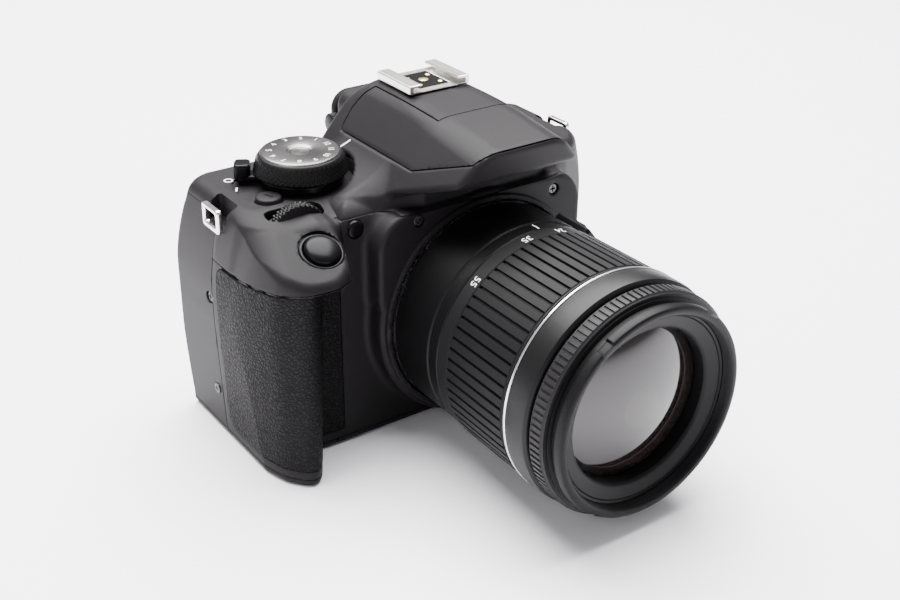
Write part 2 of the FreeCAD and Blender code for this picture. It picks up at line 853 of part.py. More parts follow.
mirror.Placement.Rotation = MIRROR_REST
place(mirror, ("0", "mirror_pivot_y", "mirror_pivot_z"))

sub_mirror = node(fuse("sub_mirror_whole", [
    box("sub_mirror_plate", ("-sub_half", "0", "-0.3"), ("sub_half", "sub_length", "0.3")),
    cylinder("sub_mirror_pin", "0.5", "2 * sub_half + 3.4", ("-sub_half - 1.7", "0", "0"), "x"),
]), "sub_mirror")
sub_mirror.Placement.Rotation = SUB_MIRROR_REST
place(sub_mirror, (
    "0",
    "mirror_pivot_y + (sub_pivot_below - sub_pivot_along) * 0.70710678",
    "mirror_pivot_z - (sub_pivot_below + sub_pivot_along) * 0.70710678",
))

gate_low = "lens_axis_z - gate_height / 2"
gate_high = "lens_axis_z + gate_height / 2"
shutter_frame = node(cut(
    "shutter_frame_cut",
    box("shutter_frame_full", ("-18", "shutter_front_y", "10"), ("18", "shutter_rear_y", "65")),
    [
        box(
            "shutter_gate",
            ("-gate_half", "shutter_front_y - 1", gate_low),
            ("gate_half", "shutter_rear_y + 1", gate_high),
        ),
        box(
            "shutter_track",
            ("-curtain_half - 0.6", "shutter_front_y + 1", "11.4"),
            ("curtain_half + 0.6", "shutter_rear_y - 1", "63.8"),
        ),
    ],
), "shutter_frame")
first_curtain = node(box(
    "first_curtain",
    ("-curtain_half", "shutter_front_y + 1.4", "lens_axis_z - curtain_height / 2"),
    ("curtain_half", "shutter_front_y + 1.9", "lens_axis_z + curtain_height / 2"),
), "first_curtain")
second_curtain = node(box(
    "second_curtain",
    ("-curtain_half", "shutter_rear_y - 1.9", "lens_axis_z + curtain_height / 2 + 0.3"),
    ("curtain_half", "shutter_rear_y - 1.4", "lens_axis_z + 1.5 * curtain_height + 0.3"),
), "second_curtain")
image_sensor = node(box(
    "image_sensor",
    ("-sensor_half", "sensor_y", "lens_axis_z - sensor_tall_half"),
    ("sensor_half", "sensor_y + sensor_thick", "lens_axis_z + sensor_tall_half"),
), "image_sensor")
main_board = node(box(
    "main_board",
    ("-board_half", "board_y", "board_low"),
    ("board_half", "board_y + board_thick", "board_high"),
), "main_board")
focusing_screen = node(box(
    "focusing_screen",
    ("-mirror_half - 0.5", "-10", "box_high"),
    ("mirror_half + 0.5", "11.4", "box_high + 1.2"),
), "focusing_screen")
pentamirror = node(prism("pentamirror_form", "XZ_Plane", "-penta_rear", "penta_rear - penta_front", [
    ("-penta_half", "box_high + 1.3"),
    ("penta_half", "box_high + 1.3"),
    ("penta_half", "box_high + penta_wall"),
    ("penta_top_half", "box_high + penta_height"),
    ("-penta_top_half", "box_high + penta_height"),
    ("-penta_half", "box_high + penta_wall"),
]), "pentamirror")
eyepiece_lens = node(
    cylinder("eyepiece_glass", "8.5", "3.5", ("0", "34", "eyepiece_axis_z"), "front"),
    "eyepiece_lens",
)
eyecup_block = box(
    "eyecup_block", ("-eyepiece_half + 0.4", "eyepiece_rear", "eyepiece_low + 1.4"),
    ("eyepiece_half - 0.4", "eyecup_rear", "eyepiece_high - 1.4"),
)
doc.recompute()
eyecup_round = rounded("eyecup_round", eyecup_block, {
    number: 5.0
    for number in edges_where(
        eyecup_block.Shape,
        lambda edge: abs(edge.tangentAt(edge.FirstParameter).y) > 0.9,
    )
})
eyecup = node(cut("eyecup_cut", eyecup_round, [
    box(
        "eyecup_mouth",
        ("-10.5", "eyepiece_rear - 1", "eyepiece_axis_z - 6.5"),
        ("10.5", "eyecup_rear + 1", "eyepiece_axis_z + 7.5"),
    ),
]), "eyecup")
lcd_screen = node(fuse("lcd_whole", [
    box(
        "lcd_module",
        ("screen_left + 1.5", "27.4", "screen_low + 1.5"),
        ("screen_right - 1.5", "rear_face - wall", "screen_high - 1.5"),
    ),
    box(
        "lcd_glass",
        ("screen_left + 0.05", "rear_face - wall", "screen_low + 0.05"),
        ("screen_right - 0.05", "rear_face + screen_proud", "screen_high - 0.05"),
    ),
]), "lcd_screen")
battery = node(box(
    "battery_pack",
    ("battery_x", "battery_y", "base_thickness + 0.4"),
    ("battery_x + battery_thick", "battery_y + battery_wide", "base_thickness + 0.4 + battery_tall"),
), "battery")
memory_card = node(box("card", ("-55.4", "-4", "2.8"), ("-53.3", "20", "34.8")), "memory_card")
tripod_socket = node(upright_turning("socket_turning", [
    ("socket_bore", "0"),
    ("socket_outer", "0"),
    ("socket_outer", "socket_length + 1.2"),
    ("0", "socket_length + 1.2"),
    ("0", "socket_length"),
    ("socket_bore", "socket_length"),
], ("0", "0", "0")), "tripod_socket")

mount_ring = tube("mount_ring", "flange_y + mount_thickness", "flange_y", "mount_radius", "throat_radius")
lens_mount_ring = node(cut("lens_mount_cut", mount_ring, [pin_hole]), "lens_mount_ring")

hot_shoe = node(cut(
    "hot_shoe_cut",
    box("hot_shoe_full", ("-shoe_half", "shoe_front", "roof_top"), ("shoe_half", "shoe_rear", "shoe_top")),
    [
        box(
            "shoe_channel",
            ("-shoe_slot_half", "shoe_front - 1", "roof_top + shoe_floor"),
            ("shoe_slot_half", "shoe_rear + 1", "shoe_top - shoe_lip"),
        ),
        box(
            "shoe_gap",
            ("-shoe_lip_half", "shoe_front - 1", "roof_top + shoe_floor"),
            ("shoe_lip_half", "shoe_rear + 1", "shoe_top + 1"),
        ),
    ],
), "hot_shoe")


def strap_lug(side, start):
    return cut(
        f"strap_lug_{side}",
        box(
            f"lug_plate_{side}",
            (start, "lug_front", "lug_low - 0.4"),
            (f"{start} + 1.8", "lug_rear", "lug_high"),
        ),
        [
            box(
                f"lug_slot_{side}",
                (f"{start} - 1", "lug_front + 1.6", "lug_low + 2.2"),
                (f"{start} + 3", "lug_rear - 1.6", "lug_high - 1.5"),
            ),
        ],
    )


strap_lugs = node(group("strap_lug_pair", [
    strap_lug("left", "left_side + 1.2"),
    strap_lug("right", "right_side - 3"),
]), "strap_lugs")
flash_hinge_pin = node(cylinder(
    "hinge_pin", "flash_pin_radius", "36", ("-18", "flash_pivot_y", "flash_pivot_z"), "x"
), "flash_hinge_pin")


# ---------------------------------------------------------------- flash lid with its lamp

lid_form = common("lid_form", [
    hump_form,
    prism(
        "lid_outline",
        "YZ_Plane",
        "-hump_seam_half - 4",
        "2 * hump_seam_half + 8",
        flash_outline("seam_gap"),
    ),
])
tongue_gap_half = "(tongue_half + seam_gap)"
tongue_space = prism("tongue_space", "YZ_Plane", f"-{tongue_gap_half}", f"2 * {tongue_gap_half}", [
    ("tongue_front - seam_gap", "roof_top + 6"),
    ("tongue_front - seam_gap", "roof_top"),
    ("tongue_front - 2.4", "roof_top - 8.6"),
    ("tongue_front - 3.2", "hump_foot"),
    ("hump_rear + 5", "hump_foot"),
    ("hump_rear + 5", "roof_top + 6"),
])
lamp_pocket = box("lamp_pocket", ("-12.9", "-31.4", "hump_foot"), ("12.9", "-18.2", "93"))
lid_bearing = cylinder(
    "lid_bearing", "flash_pin_radius + running_gap", "60", ("-30", "flash_pivot_y", "flash_pivot_z"), "x"
)
flash_head = node(cut("flash_head_cut", lid_form, [tongue_space, lamp_pocket, lid_bearing]), "flash_head")
flash_lamp = node(prism("flash_lamp_form", "YZ_Plane", "-12.5", "25", [
    ("-31", "93"),
    ("-31", "89.2"),
    ("-31.5", "88.3"),
    ("-19.1", "81.5"),
    ("-18.6", "82.4"),
    ("-18.6", "93"),
]), "flash_lamp")


# ---------------------------------------------------------------- controls

shutter_button = node(on_slope(upright_turning("shutter_button_turning", [
    ("0", "-3.4"),
    ("shutter_radius + 0.8", "-3.4"),
    ("shutter_radius + 0.8", "-2.5"),
    ("shutter_radius", "-2.5"),
    ("shutter_radius", "0.9"),
    ("shutter_radius - 0.7", "1.7"),
    ("0", "2.1"),
], ("0", "0", "0"))), "shutter_button")
flash_button = node(upright_turning("flash_button_turning", [
    ("0", "deck_height - 4"),
    ("flash_button_radius + 0.8", "deck_height - 4"),
    ("flash_button_radius + 0.8", "deck_height - 3"),
    ("flash_button_radius", "deck_height - 3"),
    ("flash_button_radius", "deck_height + 0.6"),
    ("flash_button_radius - 0.4", "deck_height + 1"),
    ("0", "deck_height + 1"),
], ("flash_button_x", "flash_button_y", "0")), "flash_button")


main_dial = node(fuse("main_dial_whole", [
    cylinder(
        "main_dial_disc",
        "wheel_radius",
        "2 * wheel_half",
        ("wheel_x", "wheel_y + wheel_half", "wheel_z"),
        "front",
    ),
    cylinder(
        "main_dial_axle",
        "wheel_axle",
        "2 * wheel_half + 2.2",
        ("wheel_x", "wheel_y + wheel_half + 2.2", "wheel_z"),
        "front",
    ),
]), "main_dial")
mode_dial = node(upright_turning("mode_dial_turning", [
    ("0", "deck_height - 5"),
    ("dial_shaft", "deck_height - 5"),
    ("dial_shaft", "dial_low"),
    ("dial_radius", "dial_low"),
    ("dial_radius", "dial_top - 2.4"),
    ("dial_top_radius", "dial_top"),
    ("0", "dial_top"),
], ("dial_x", "dial_y", "0")), "mode_dial")
lever_ring = cut(
    "lever_ring",
    cylinder("lever_disc", "lever_radius", "lever_high - lever_low", ("0", "0", "lever_low")),
    [cylinder("lever_bore", "dial_shaft + 0.3", "10", ("0", "0", "lever_low - 2"))],
)
power_lever = node(fuse("power_lever_whole", [
    lever_ring,
    box("lever_arm", ("lever_radius - 2", "-3", "lever_low"), ("lever_radius + 7", "3", "lever_high")),
    box(
        "lever_knob",
        ("dial_radius + 0.6", "-3", "lever_high - 0.5"),
        ("lever_radius + 7", "3", "lever_high + 3.4"),
    ),
]), "power_lever")
power_lever.Placement.Rotation = Rotation(Vector(0, 0, 1), 150)
place(power_lever, ("dial_x", "dial_y", "0"))
dioptre_knob = node(fuse("dioptre_whole", [
    cylinder("dioptre_wheel", "dioptre_radius", "3", ("-eyepiece_half - 3.4", "dioptre_y", "dioptre_z"), "x"),
    cylinder(
        "dioptre_shaft_part",
        "dioptre_shaft",
        "4",
        ("-eyepiece_half - 0.6", "dioptre_y", "dioptre_z"),
        "x",
    ),
]), "dioptre_knob")


def key(name, x, z, radius):
    """Rear key: a cap through the cover with a flange behind it."""
    return node(fuse(name + "_whole", [
        cylinder(name + "_cap", radius, "wall + key_proud + 0.6", (x, "rear_face + key_proud", z), "front"),
        cylinder(name + "_flange", radius + 0.7, "key_flange", (x, "rear_face - wall - 0.3", z), "front"),
    ]), name)


for key_name, (key_x, key_z, key_radius) in KEYS.items():
    key(key_name, key_x, key_z, key_radius)

lens_release_button = node(fuse("release_whole", [
    cylinder("release_cap", "release_radius", "12", ("release_x", "-1", "release_z"), "front"),
    cylinder("release_flange", "release_radius + 1.2", "1", ("release_x", "-0.6", "release_z"), "front"),
    box("release_arm", ("pin_x - 1.5", "-1.6", "release_z - 2"), ("release_x", "-0.6", "lens_axis_z + 1.5")),
    cylinder("release_pin", "pin_radius", "21.8", ("pin_x", "-1", "lens_axis_z"), "front"),
]), "lens_release_button")
battery_door = node(fuse("battery_door_whole", [
    box("door_plate", ("door_left", "door_front", "0"), ("door_right + 0.6", "door_rear", "door_thickness")),
    cylinder(
        "door_barrel",
        "1.0",
        "door_rear - door_front",
        ("door_right + 0.6", "door_rear", "1.1"),
        "front",
    ),
]), "battery_door")
terminal_cover = node(fuse("terminal_cover_whole", [
    box(
        "terminal_flap",
        ("right_side - terminal_thickness", "terminal_front", "terminal_low"),
        ("right_side", "terminal_rear + 0.6", "terminal_high"),
    ),
    cylinder(
        "terminal_barrel", "terminal_thickness / 2", "terminal_high - terminal_low",
        ("right_side - terminal_thickness / 2", "terminal_rear + 0.6", "terminal_low"),
    ),
]), "terminal_cover")


# ---------------------------------------------------------------- lens

bayonet_hole = cylinder(
    "bayonet_hole",
    "pin_radius + 0.3",
    "1.6",
    ("pin_x", "flange_y + 0.1", "lens_axis_z"),
    "front",
)
lens_bayonet = node(cut("lens_bayonet_cut", lens_ring("bayonet_turning", [
    ("flange_y + bayonet_depth", "bayonet_bore"),
    ("flange_y + bayonet_depth", "bayonet_radius"),
    ("flange_y", "bayonet_radius"),
    ("flange_y", "mount_radius - 2"),
    ("flange_y - 2", "mount_radius - 2"),
    ("flange_y - 2", "bayonet_bore"),
]), [bayonet_hole]), "lens_bayonet")

SWITCH_TURN = Rotation(Vector(0, 1, 0), 52)


def at_switch(item):
    """Turns a piece made at the top of the lens round to the focus switch."""
    item.Placement.Rotation = SWITCH_TURN
    return place(item, ("0", "0", "lens_axis_z"))


rear_barrel_turning = lens_ring("rear_barrel_turning", [
    ("flange_y - 0.4", "mount_radius - 1.8"),
    ("flange_y - 0.4", "barrel_radius"),
    ("barrel_front", "barrel_radius"),
    ("barrel_front", "guide_outer"),
    ("flange_y - 3.9", "guide_outer"),
    ("flange_y - 3.9", "mount_radius - 1.8"),
])
switch_pad = at_switch(group("switch_pad", [
    box("switch_pad_block", ("-6.5", "-41", "barrel_radius - 1.2"), ("6.5", "-26", "barrel_radius + 1.7")),
]))
switch_slot = at_switch(group("switch_slot", [
    box("switch_slot_block", ("-4.3", "-36.4", "barrel_radius + 0.1"), ("4.3", "-30.6", "barrel_radius + 5")),
]))
lens_rear_barrel = node(cut(
    "rear_barrel_cut", fuse("rear_barrel_whole", [rear_barrel_turning, switch_pad]), [switch_slot]
), "lens_rear_barrel")
af_switch = node(at_switch(group("af_switch_piece", [
    box("af_switch_block", ("-4", "-36.1", "barrel_radius + 0.3"), ("1", "-30.9", "barrel_radius + 2.9")),
])), "af_switch")

lens_front_band = node(lens_ring("front_band_turning", [
    ("flange_y - 4", "guide_inner"),
    ("band_front", "guide_inner"),
    ("band_front", "band_radius - 0.6"),
    ("band_front + 1.2", "band_radius"),
    ("band_rear", "band_radius"),
    ("band_rear", "guide_outer"),
    ("flange_y - 4", "guide_outer"),
]), "lens_front_band")


ZOOM_GROOVES = 40


def grooved_ring():
    """Zoom ring: a turned sleeve with long grooves cut round it."""
    body = lens_ring("zoom_ring_body", [
        ("zoom_rear", "zoom_inner"),
        ("zoom_front", "zoom_inner"),
        ("zoom_front", "zoom_front_radius"),
        ("zoom_rear", "zoom_rear_radius"),
    ])
    low = "zoom_rear_radius - zoom_groove"
    groove_outline = outline(body, "XZ_Plane", "zoom_groove_sketch", [
        ("-0.7", low),
        ("0.7", low),
        ("0.7", "zoom_front_radius + 2"),
        ("-0.7", "zoom_front_radius + 2"),
    ], "-zoom_front - 2")
    doc.recompute()
    plain = body.Shape.Volume
    pocket = body.newObject("PartDesign::Pocket", "zoom_groove_cut")
    pocket.Profile = groove_outline
    bind(pocket, "Length", "zoom_rear - zoom_front - 8")
    doc.recompute()
    pattern = body.newObject("PartDesign::PolarPattern", "zoom_grooves")
    pattern.Originals = [pocket]
    pattern.Axis = (origin_item(body, "Y_Axis"), [""])
    pattern.Angle = 360
    pattern.Occurrences = ZOOM_GROOVES
    body.Tip = pattern
    doc.recompute()
    if body.Shape.Volume > plain - 1:
        raise ValueError("the zoom ring's grooves cut nothing")
    return body


zoom_ring = node(grooved_ring(), "zoom_ring")
inner_barrel = node(
    tube("inner_barrel_tube", "inner_rear", "inner_front", "inner_outer", "inner_bore"),
    "inner_barrel",
)
focus_sleeve = node(
    tube("focus_sleeve_tube", "inner_rear - 4", "focus_step - 0.4", "sleeve_outer", "sleeve_bore"),
    "focus_sleeve",
)
focus_ring = node(lens_ring("focus_ring_turning", [
    ("focus_rear", "inner_outer + 0.4"),
    ("inner_front - 0.4", "inner_outer + 0.4"),
    ("inner_front - 0.4", "inner_bore"),
    ("focus_step - 0.8", "inner_bore"),
    ("focus_step - 0.8", "name_ring_bore"),
    ("focus_step - 1.6", "name_ring_bore"),
    ("lens_front + filter_depth", "filter_radius - 0.1"),
    ("lens_front + filter_depth", "filter_radius"),
    ("lens_front", "filter_radius"),
    ("lens_front", "rim_radius"),
    ("focus_step - 0.4", "rim_radius"),
    ("focus_step", "focus_radius"),
    ("focus_rear", "focus_radius"),
]), "focus_ring")


def lens_glass(name, apex, rear, radius, curve):
    """Lens element: a domed front towards -Y on a straight rim."""
    dome = doc.addObject("Part::Sphere", name + "_dome")
    bind(dome, "Radius", curve)
    dome.Placement.Rotation = TURN_TO["front"]
    place(dome, ("0", f"{apex} + {curve}", "lens_axis_z"))
    rim = cylinder(name + "_rim", radius, f"({rear}) - ({apex})", ("0", rear, "lens_axis_z"), "front")
    return common(name + "_glass", [dome, rim])


front_element = node(
    lens_glass("front_element", "focus_step - 2.2", "focus_step + 6", "glass_radius", "62"),
    "front_element",
)
rear_lens_group = node(fuse("rear_group_whole", [
    tube("rear_group_cell", "-31", "-38", "inner_outer", "rear_glass_radius"),
    lens_glass("rear_element", "-37.5", "-32", "rear_glass_radius + 0.4", "30"),
]), "rear_lens_group")


# ---------------------------------------------------------------- check and write

doc.recompute()
for item in doc.Objects:
    if "Invalid" in item.State or "Error" in item.State:
        raise ValueError(f"{item.Name} failed: {item.State}")
os.makedirs("parts", exist_ok=True)
for item in NODES:
    if item.Shape.isNull() or not item.Shape.isValid() or not item.Shape.Solids:
        raise ValueError(f"{item.Label} has no valid solid")
    item.Shape.exportStep(f"parts/{item.Label}.step")
print(len(NODES), "sub-parts written")
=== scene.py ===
import json
import math

import bmesh
import bpy
import numpy as np
from mathutils import Matrix, Vector

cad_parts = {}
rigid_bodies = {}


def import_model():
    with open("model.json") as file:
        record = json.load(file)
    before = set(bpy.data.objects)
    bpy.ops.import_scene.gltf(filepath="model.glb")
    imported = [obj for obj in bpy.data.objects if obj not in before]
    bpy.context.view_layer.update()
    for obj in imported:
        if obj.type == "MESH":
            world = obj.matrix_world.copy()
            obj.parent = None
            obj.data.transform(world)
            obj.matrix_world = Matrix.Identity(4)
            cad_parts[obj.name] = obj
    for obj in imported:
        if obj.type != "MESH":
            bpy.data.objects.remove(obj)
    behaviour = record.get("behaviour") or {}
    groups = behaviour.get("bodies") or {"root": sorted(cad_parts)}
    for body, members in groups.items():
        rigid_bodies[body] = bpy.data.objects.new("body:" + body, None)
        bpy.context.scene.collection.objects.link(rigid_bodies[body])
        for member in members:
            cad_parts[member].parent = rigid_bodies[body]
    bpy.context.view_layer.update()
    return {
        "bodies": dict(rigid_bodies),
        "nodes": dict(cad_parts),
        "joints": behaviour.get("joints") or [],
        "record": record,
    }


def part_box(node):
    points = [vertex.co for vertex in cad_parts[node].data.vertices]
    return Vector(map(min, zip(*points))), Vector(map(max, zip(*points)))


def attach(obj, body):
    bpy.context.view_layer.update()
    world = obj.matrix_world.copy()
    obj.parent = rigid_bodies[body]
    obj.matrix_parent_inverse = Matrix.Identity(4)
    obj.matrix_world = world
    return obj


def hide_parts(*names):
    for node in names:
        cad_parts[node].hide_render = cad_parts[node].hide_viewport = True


# A digital reflex camera with its zoom lens.  Lengths below are in millimetres, in the frame of the
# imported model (+Z up, lens towards -Y), and become metres when a mesh is made.

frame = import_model()
MM = 0.001
ROOT = "camera"


def corners(node):
    """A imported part's lowest and highest corner in millimetres."""
    low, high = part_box(node)
    return [value / MM for value in low], [value / MM for value in high]


def middle(node):
    low, high = corners(node)
    return [(a + b) / 2 for a, b in zip(low, high)]


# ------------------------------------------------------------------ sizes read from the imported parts

LEFT, _, _ = corners("front_cover")[0]
RIGHT = corners("rear_cover")[1][0]
REAR = corners("rear_cover")[1][1]
REAR_FACE = 33.9
BASE_TOP = corners("bottom_cover")[1][2]
LENS_X, _, LENS_Z = middle("lens_rear_barrel")
LENS_AT = (LENS_X, LENS_Z)
FLANGE = corners("lens_rear_barrel")[1][1] + 0.4
DECK = 77.0
DIAL_X, DIAL_Y, _ = middle("mode_dial")
DIAL_AT = (DIAL_X, DIAL_Y)
SHUTTER = middle("shutter_button")
SLOPE = math.atan2(14.0, 28.0)
SLOPE_START = -6.0
FLASH_BUTTON = middle("flash_button")
WHEEL = middle("main_dial")
SEAM = 0.16
WALL = 2.2
GRIP_SPLIT = 60.2
TOP_SPLIT = 73.0
REAR_SPLIT = 10.0
SIDE_ROLL = 7.0
SEAM_EDGE = 0.25
DIAL_FLOOR = 76.4
LAMP_AT = (-40.2, 69.6)
RELEASE_AT = (42.5, 33.0)


# ------------------------------------------------------------------ materials

def node_material(name, colour, rough, metal=0.0):
    """A Principled material, its node tree and its shader."""
    material = bpy.data.materials.new(name)
    material.use_nodes = True
    tree = material.node_tree
    shader = tree.nodes["Principled BSDF"]
    shader.inputs["Base Color"].default_value = (*colour, 1.0)
    shader.inputs["Roughness"].default_value = rough
    shader.inputs["Metallic"].default_value = metal
    material.diffuse_color = (*colour, 1.0)
    return material, tree, shader


def texture(tree, kind, scale, **settings):
    """A texture node read in the part's own coordinates, scale in cycles per metre."""
    place = tree.nodes.new("ShaderNodeTexCoord")
    made = tree.nodes.new(kind)
    for key, value in settings.items():
        made.inputs[key].default_value = value
    made.inputs["Scale"].default_value = scale
    tree.links.new(place.outputs["Object"], made.inputs["Vector"])
    return made


def ramp(tree, source, target, stops):
    """Colours laid over a texture's value and sent to an input."""
    made = tree.nodes.new("ShaderNodeValToRGB")
    elements = made.color_ramp.elements
    while len(elements) < len(stops):
        elements.new(0.5)
    for element, (position, colour) in zip(elements, stops):
        element.position = position
        element.color = (*colour, 1.0)
    tree.links.new(source, made.inputs["Fac"])
    tree.links.new(made.outputs["Color"], target)


def levels(tree, source, target, low, high):
    """A texture's value stretched between two numbers."""
    made = tree.nodes.new("ShaderNodeMapRange")
    made.inputs["To Min"].default_value = low
    made.inputs["To Max"].default_value = high
    tree.links.new(source, made.inputs["Value"])
    tree.links.new(made.outputs["Result"], target)


def relief(tree, shader, source, strength, distance):
    """Surface relief from a texture's value, distance in metres."""
    made = tree.nodes.new("ShaderNodeBump")
    made.inputs["Strength"].default_value = strength
    made.inputs["Distance"].default_value = distance
    tree.links.new(source, made.inputs["Height"])
    tree.links.new(made.outputs["Normal"], shader.inputs["Normal"])


def shade(colour, factor):
    return tuple(min(1.0, value * factor) for value in colour)


def moulded(name, colour, rough, grain, depth, shine=0.5):
    """Moulded plastic: a fine sparkle of grain, with slow changes of tone and gloss."""
    material, tree, shader = node_material(name, colour, rough)
    shader.inputs["Specular IOR Level"].default_value = shine
    fine = texture(tree, "ShaderNodeTexNoise", grain, Detail=2.0, Roughness=0.6)
    slow = texture(tree, "ShaderNodeTexNoise", 45.0, Detail=3.0)
    ramp(tree, slow.outputs["Fac"], shader.inputs["Base Color"],
         ((0.3, shade(colour, 0.86)), (0.72, shade(colour, 1.14))))
    levels(tree, fine.outputs["Fac"], shader.inputs["Roughness"], rough - 0.07, rough + 0.09)
    relief(tree, shader, fine.outputs["Fac"], depth, 0.00012)
    return material


def leathery(name, colour, rough, cell, depth, shine=0.5):
    """Rubber with a pebbled leather grain of the given cell size in metres, with painted shade in the grooves
    between pebbles and painted light on their tops.
    """
    material, tree, shader = node_material(name, colour, rough)
    shader.inputs["Specular IOR Level"].default_value = shine
    warp = texture(tree, "ShaderNodeTexNoise", 0.7 / cell, Detail=2.0)
    place = tree.nodes.new("ShaderNodeTexCoord")
    bend = tree.nodes.new("ShaderNodeVectorMath")
    bend.operation = "MULTIPLY_ADD"
    bend.inputs[1].default_value = (cell, cell, cell)
    tree.links.new(warp.outputs["Color"], bend.inputs[0])
    tree.links.new(place.outputs["Object"], bend.inputs[2])
    cells = tree.nodes.new("ShaderNodeTexVoronoi")
    cells.feature = "DISTANCE_TO_EDGE"
    cells.inputs["Scale"].default_value = 1.0 / cell
    tree.links.new(bend.outputs["Vector"], cells.inputs["Vector"])
    rounded = tree.nodes.new("ShaderNodeMapRange")
    rounded.interpolation_type = "SMOOTHSTEP"
    rounded.inputs["From Max"].default_value = 0.28
    tree.links.new(cells.outputs["Distance"], rounded.inputs["Value"])
    # painted shade and light: base colour 0.45 of the colour in the grooves, 1.15 on the pebble tops
    ramp(tree, rounded.outputs["Result"], shader.inputs["Base Color"],
         ((0.0, shade(colour, 0.45)), (0.8, shade(colour, 1.15))))
    levels(tree, rounded.outputs["Result"], shader.inputs["Roughness"], rough + 0.12, rough - 0.05)
    relief(tree, shader, rounded.outputs["Result"], depth, 0.00022)
    return material


def worked_metal(name, colour, rough, stretch):
    """Metal with fine scratches drawn out along one direction."""
    material, tree, shader = node_material(name, colour, rough, 1.0)
    place = tree.nodes.new("ShaderNodeTexCoord")
    squeeze = tree.nodes.new("ShaderNodeMapping")
    squeeze.inputs["Scale"].default_value = stretch
    lines = tree.nodes.new("ShaderNodeTexNoise")
    lines.inputs["Scale"].default_value = 1.0
    lines.inputs["Detail"].default_value = 4.0
    tree.links.new(place.outputs["Object"], squeeze.inputs["Vector"])
    tree.links.new(squeeze.outputs["Vector"], lines.inputs["Vector"])
    ramp(tree, lines.outputs["Fac"], shader.inputs["Base Color"],
         ((0.3, shade(colour, 0.8)), (0.7, shade(colour, 1.1))))
    levels(tree, lines.outputs["Fac"], shader.inputs["Roughness"], rough - 0.05, rough + 0.12)
    relief(tree, shader, lines.outputs["Fac"], 0.25, 0.00002)
    return material


def spun_metal(name, colour, rough, centre):
    """A lathe-faced disc: fine rings about centre, in metres, as relief, and painted highlights: base colour
    brighter in fans across the rings, standing in for the reflections that sweep over spun metal.
    """
    material, tree, shader = node_material(name, colour, rough, 1.0)
    place = tree.nodes.new("ShaderNodeTexCoord")
    shift = tree.nodes.new("ShaderNodeMapping")
    shift.inputs["Location"].default_value = [-value for value in centre]
    tree.links.new(place.outputs["Object"], shift.inputs["Vector"])
    split = tree.nodes.new("ShaderNodeSeparateXYZ")
    tree.links.new(shift.outputs["Vector"], split.inputs["Vector"])
    angle = tree.nodes.new("ShaderNodeMath")
    angle.operation = "ARCTAN2"
    tree.links.new(split.outputs["Y"], angle.inputs[0])
    tree.links.new(split.outputs["X"], angle.inputs[1])
    twice = tree.nodes.new("ShaderNodeMath")
    twice.operation = "MULTIPLY_ADD"
    twice.inputs[1].default_value = 2.0
    twice.inputs[2].default_value = 0.7
    tree.links.new(angle.outputs["Value"], twice.inputs[0])
    wave = tree.nodes.new("ShaderNodeMath")
    wave.operation = "SINE"
    tree.links.new(twice.outputs["Value"], wave.inputs[0])
    painted_highlight_fan = tree.nodes.new("ShaderNodeMapRange")
    painted_highlight_fan.inputs["From Min"].default_value = -1.0
    tree.links.new(wave.outputs["Value"], painted_highlight_fan.inputs["Value"])
    # painted highlight: base colour runs from 0.62 to 1.25 of the colour in two fans round the centre
    ramp(tree, painted_highlight_fan.outputs["Result"], shader.inputs["Base Color"],
         ((0.1, shade(colour, 0.62)), (0.95, shade(colour, 1.25))))
    rings = tree.nodes.new("ShaderNodeTexWave")
    rings.wave_type = "RINGS"
    rings.rings_direction = "Z"
    rings.inputs["Scale"].default_value = 900.0
    rings.inputs["Distortion"].default_value = 0.6
    tree.links.new(shift.outputs["Vector"], rings.inputs["Vector"])
    relief(tree, shader, rings.outputs["Fac"], 0.18, 0.00003)
    return material


def polished(name, colour, rough, coat=0.0, shine=0.5):
    """Gloss plastic or lacquer, with faint handling marks in its polish."""
    material, tree, shader = node_material(name, colour, rough)
    shader.inputs["Coat Weight"].default_value = coat
    shader.inputs["Specular IOR Level"].default_value = shine
    smears = texture(tree, "ShaderNodeTexNoise", 160.0, Detail=5.0)
    levels(tree, smears.outputs["Fac"], shader.inputs["Roughness"], rough, rough + 0.08)
    ramp(tree, smears.outputs["Fac"], shader.inputs["Base Color"],
         ((0.3, shade(colour, 0.85)), (0.7, shade(colour, 1.15))))
    return material


def glass_with_painted_light(name, colour, pupil_reflection_colour, centre, radius):
    """An opaque stand-in for a coated lens, its light painted into the base colour: a paler pupil that is a
    painted reflection, a brown surround that brightens to a painted highlight ring near the edge, and a dark
    edge of painted shade.
    """
    material, tree, shader = node_material(name, colour, 0.05)
    shader.inputs["Coat Weight"].default_value = 0.25
    place = tree.nodes.new("ShaderNodeTexCoord")
    shift = tree.nodes.new("ShaderNodeMapping")
    shift.inputs["Location"].default_value = (-centre[0], 0.0, -centre[1])
    shift.inputs["Scale"].default_value = (1.0, 0.0, 1.0)
    reach = tree.nodes.new("ShaderNodeVectorMath")
    reach.operation = "LENGTH"
    share = tree.nodes.new("ShaderNodeMapRange")
    share.inputs["From Max"].default_value = radius
    tree.links.new(place.outputs["Object"], shift.inputs["Vector"])
    tree.links.new(shift.outputs["Vector"], reach.inputs[0])
    tree.links.new(reach.outputs["Value"], share.inputs["Value"])
    # painted reflection and shade: pale pupil at the centre, a painted highlight ring at 0.84 of the radius,
    # then bands of painted shade out to a dark rim
    ramp(tree, share.outputs["Result"], shader.inputs["Base Color"],
         ((0.0, shade(pupil_reflection_colour, 0.75)), (0.24, pupil_reflection_colour), (0.29, shade(colour, 0.7)), (0.55, shade(colour, 0.9)),
          (0.84, shade(colour, 1.25)), (0.90, shade(colour, 0.5)), (0.94, shade(colour, 1.0)),
          (0.97, shade(colour, 0.15))))
    dust = texture(tree, "ShaderNodeTexNoise", 260.0, Detail=4.0)
    levels(tree, dust.outputs["Fac"], shader.inputs["Roughness"], 0.05, 0.09)
    return material


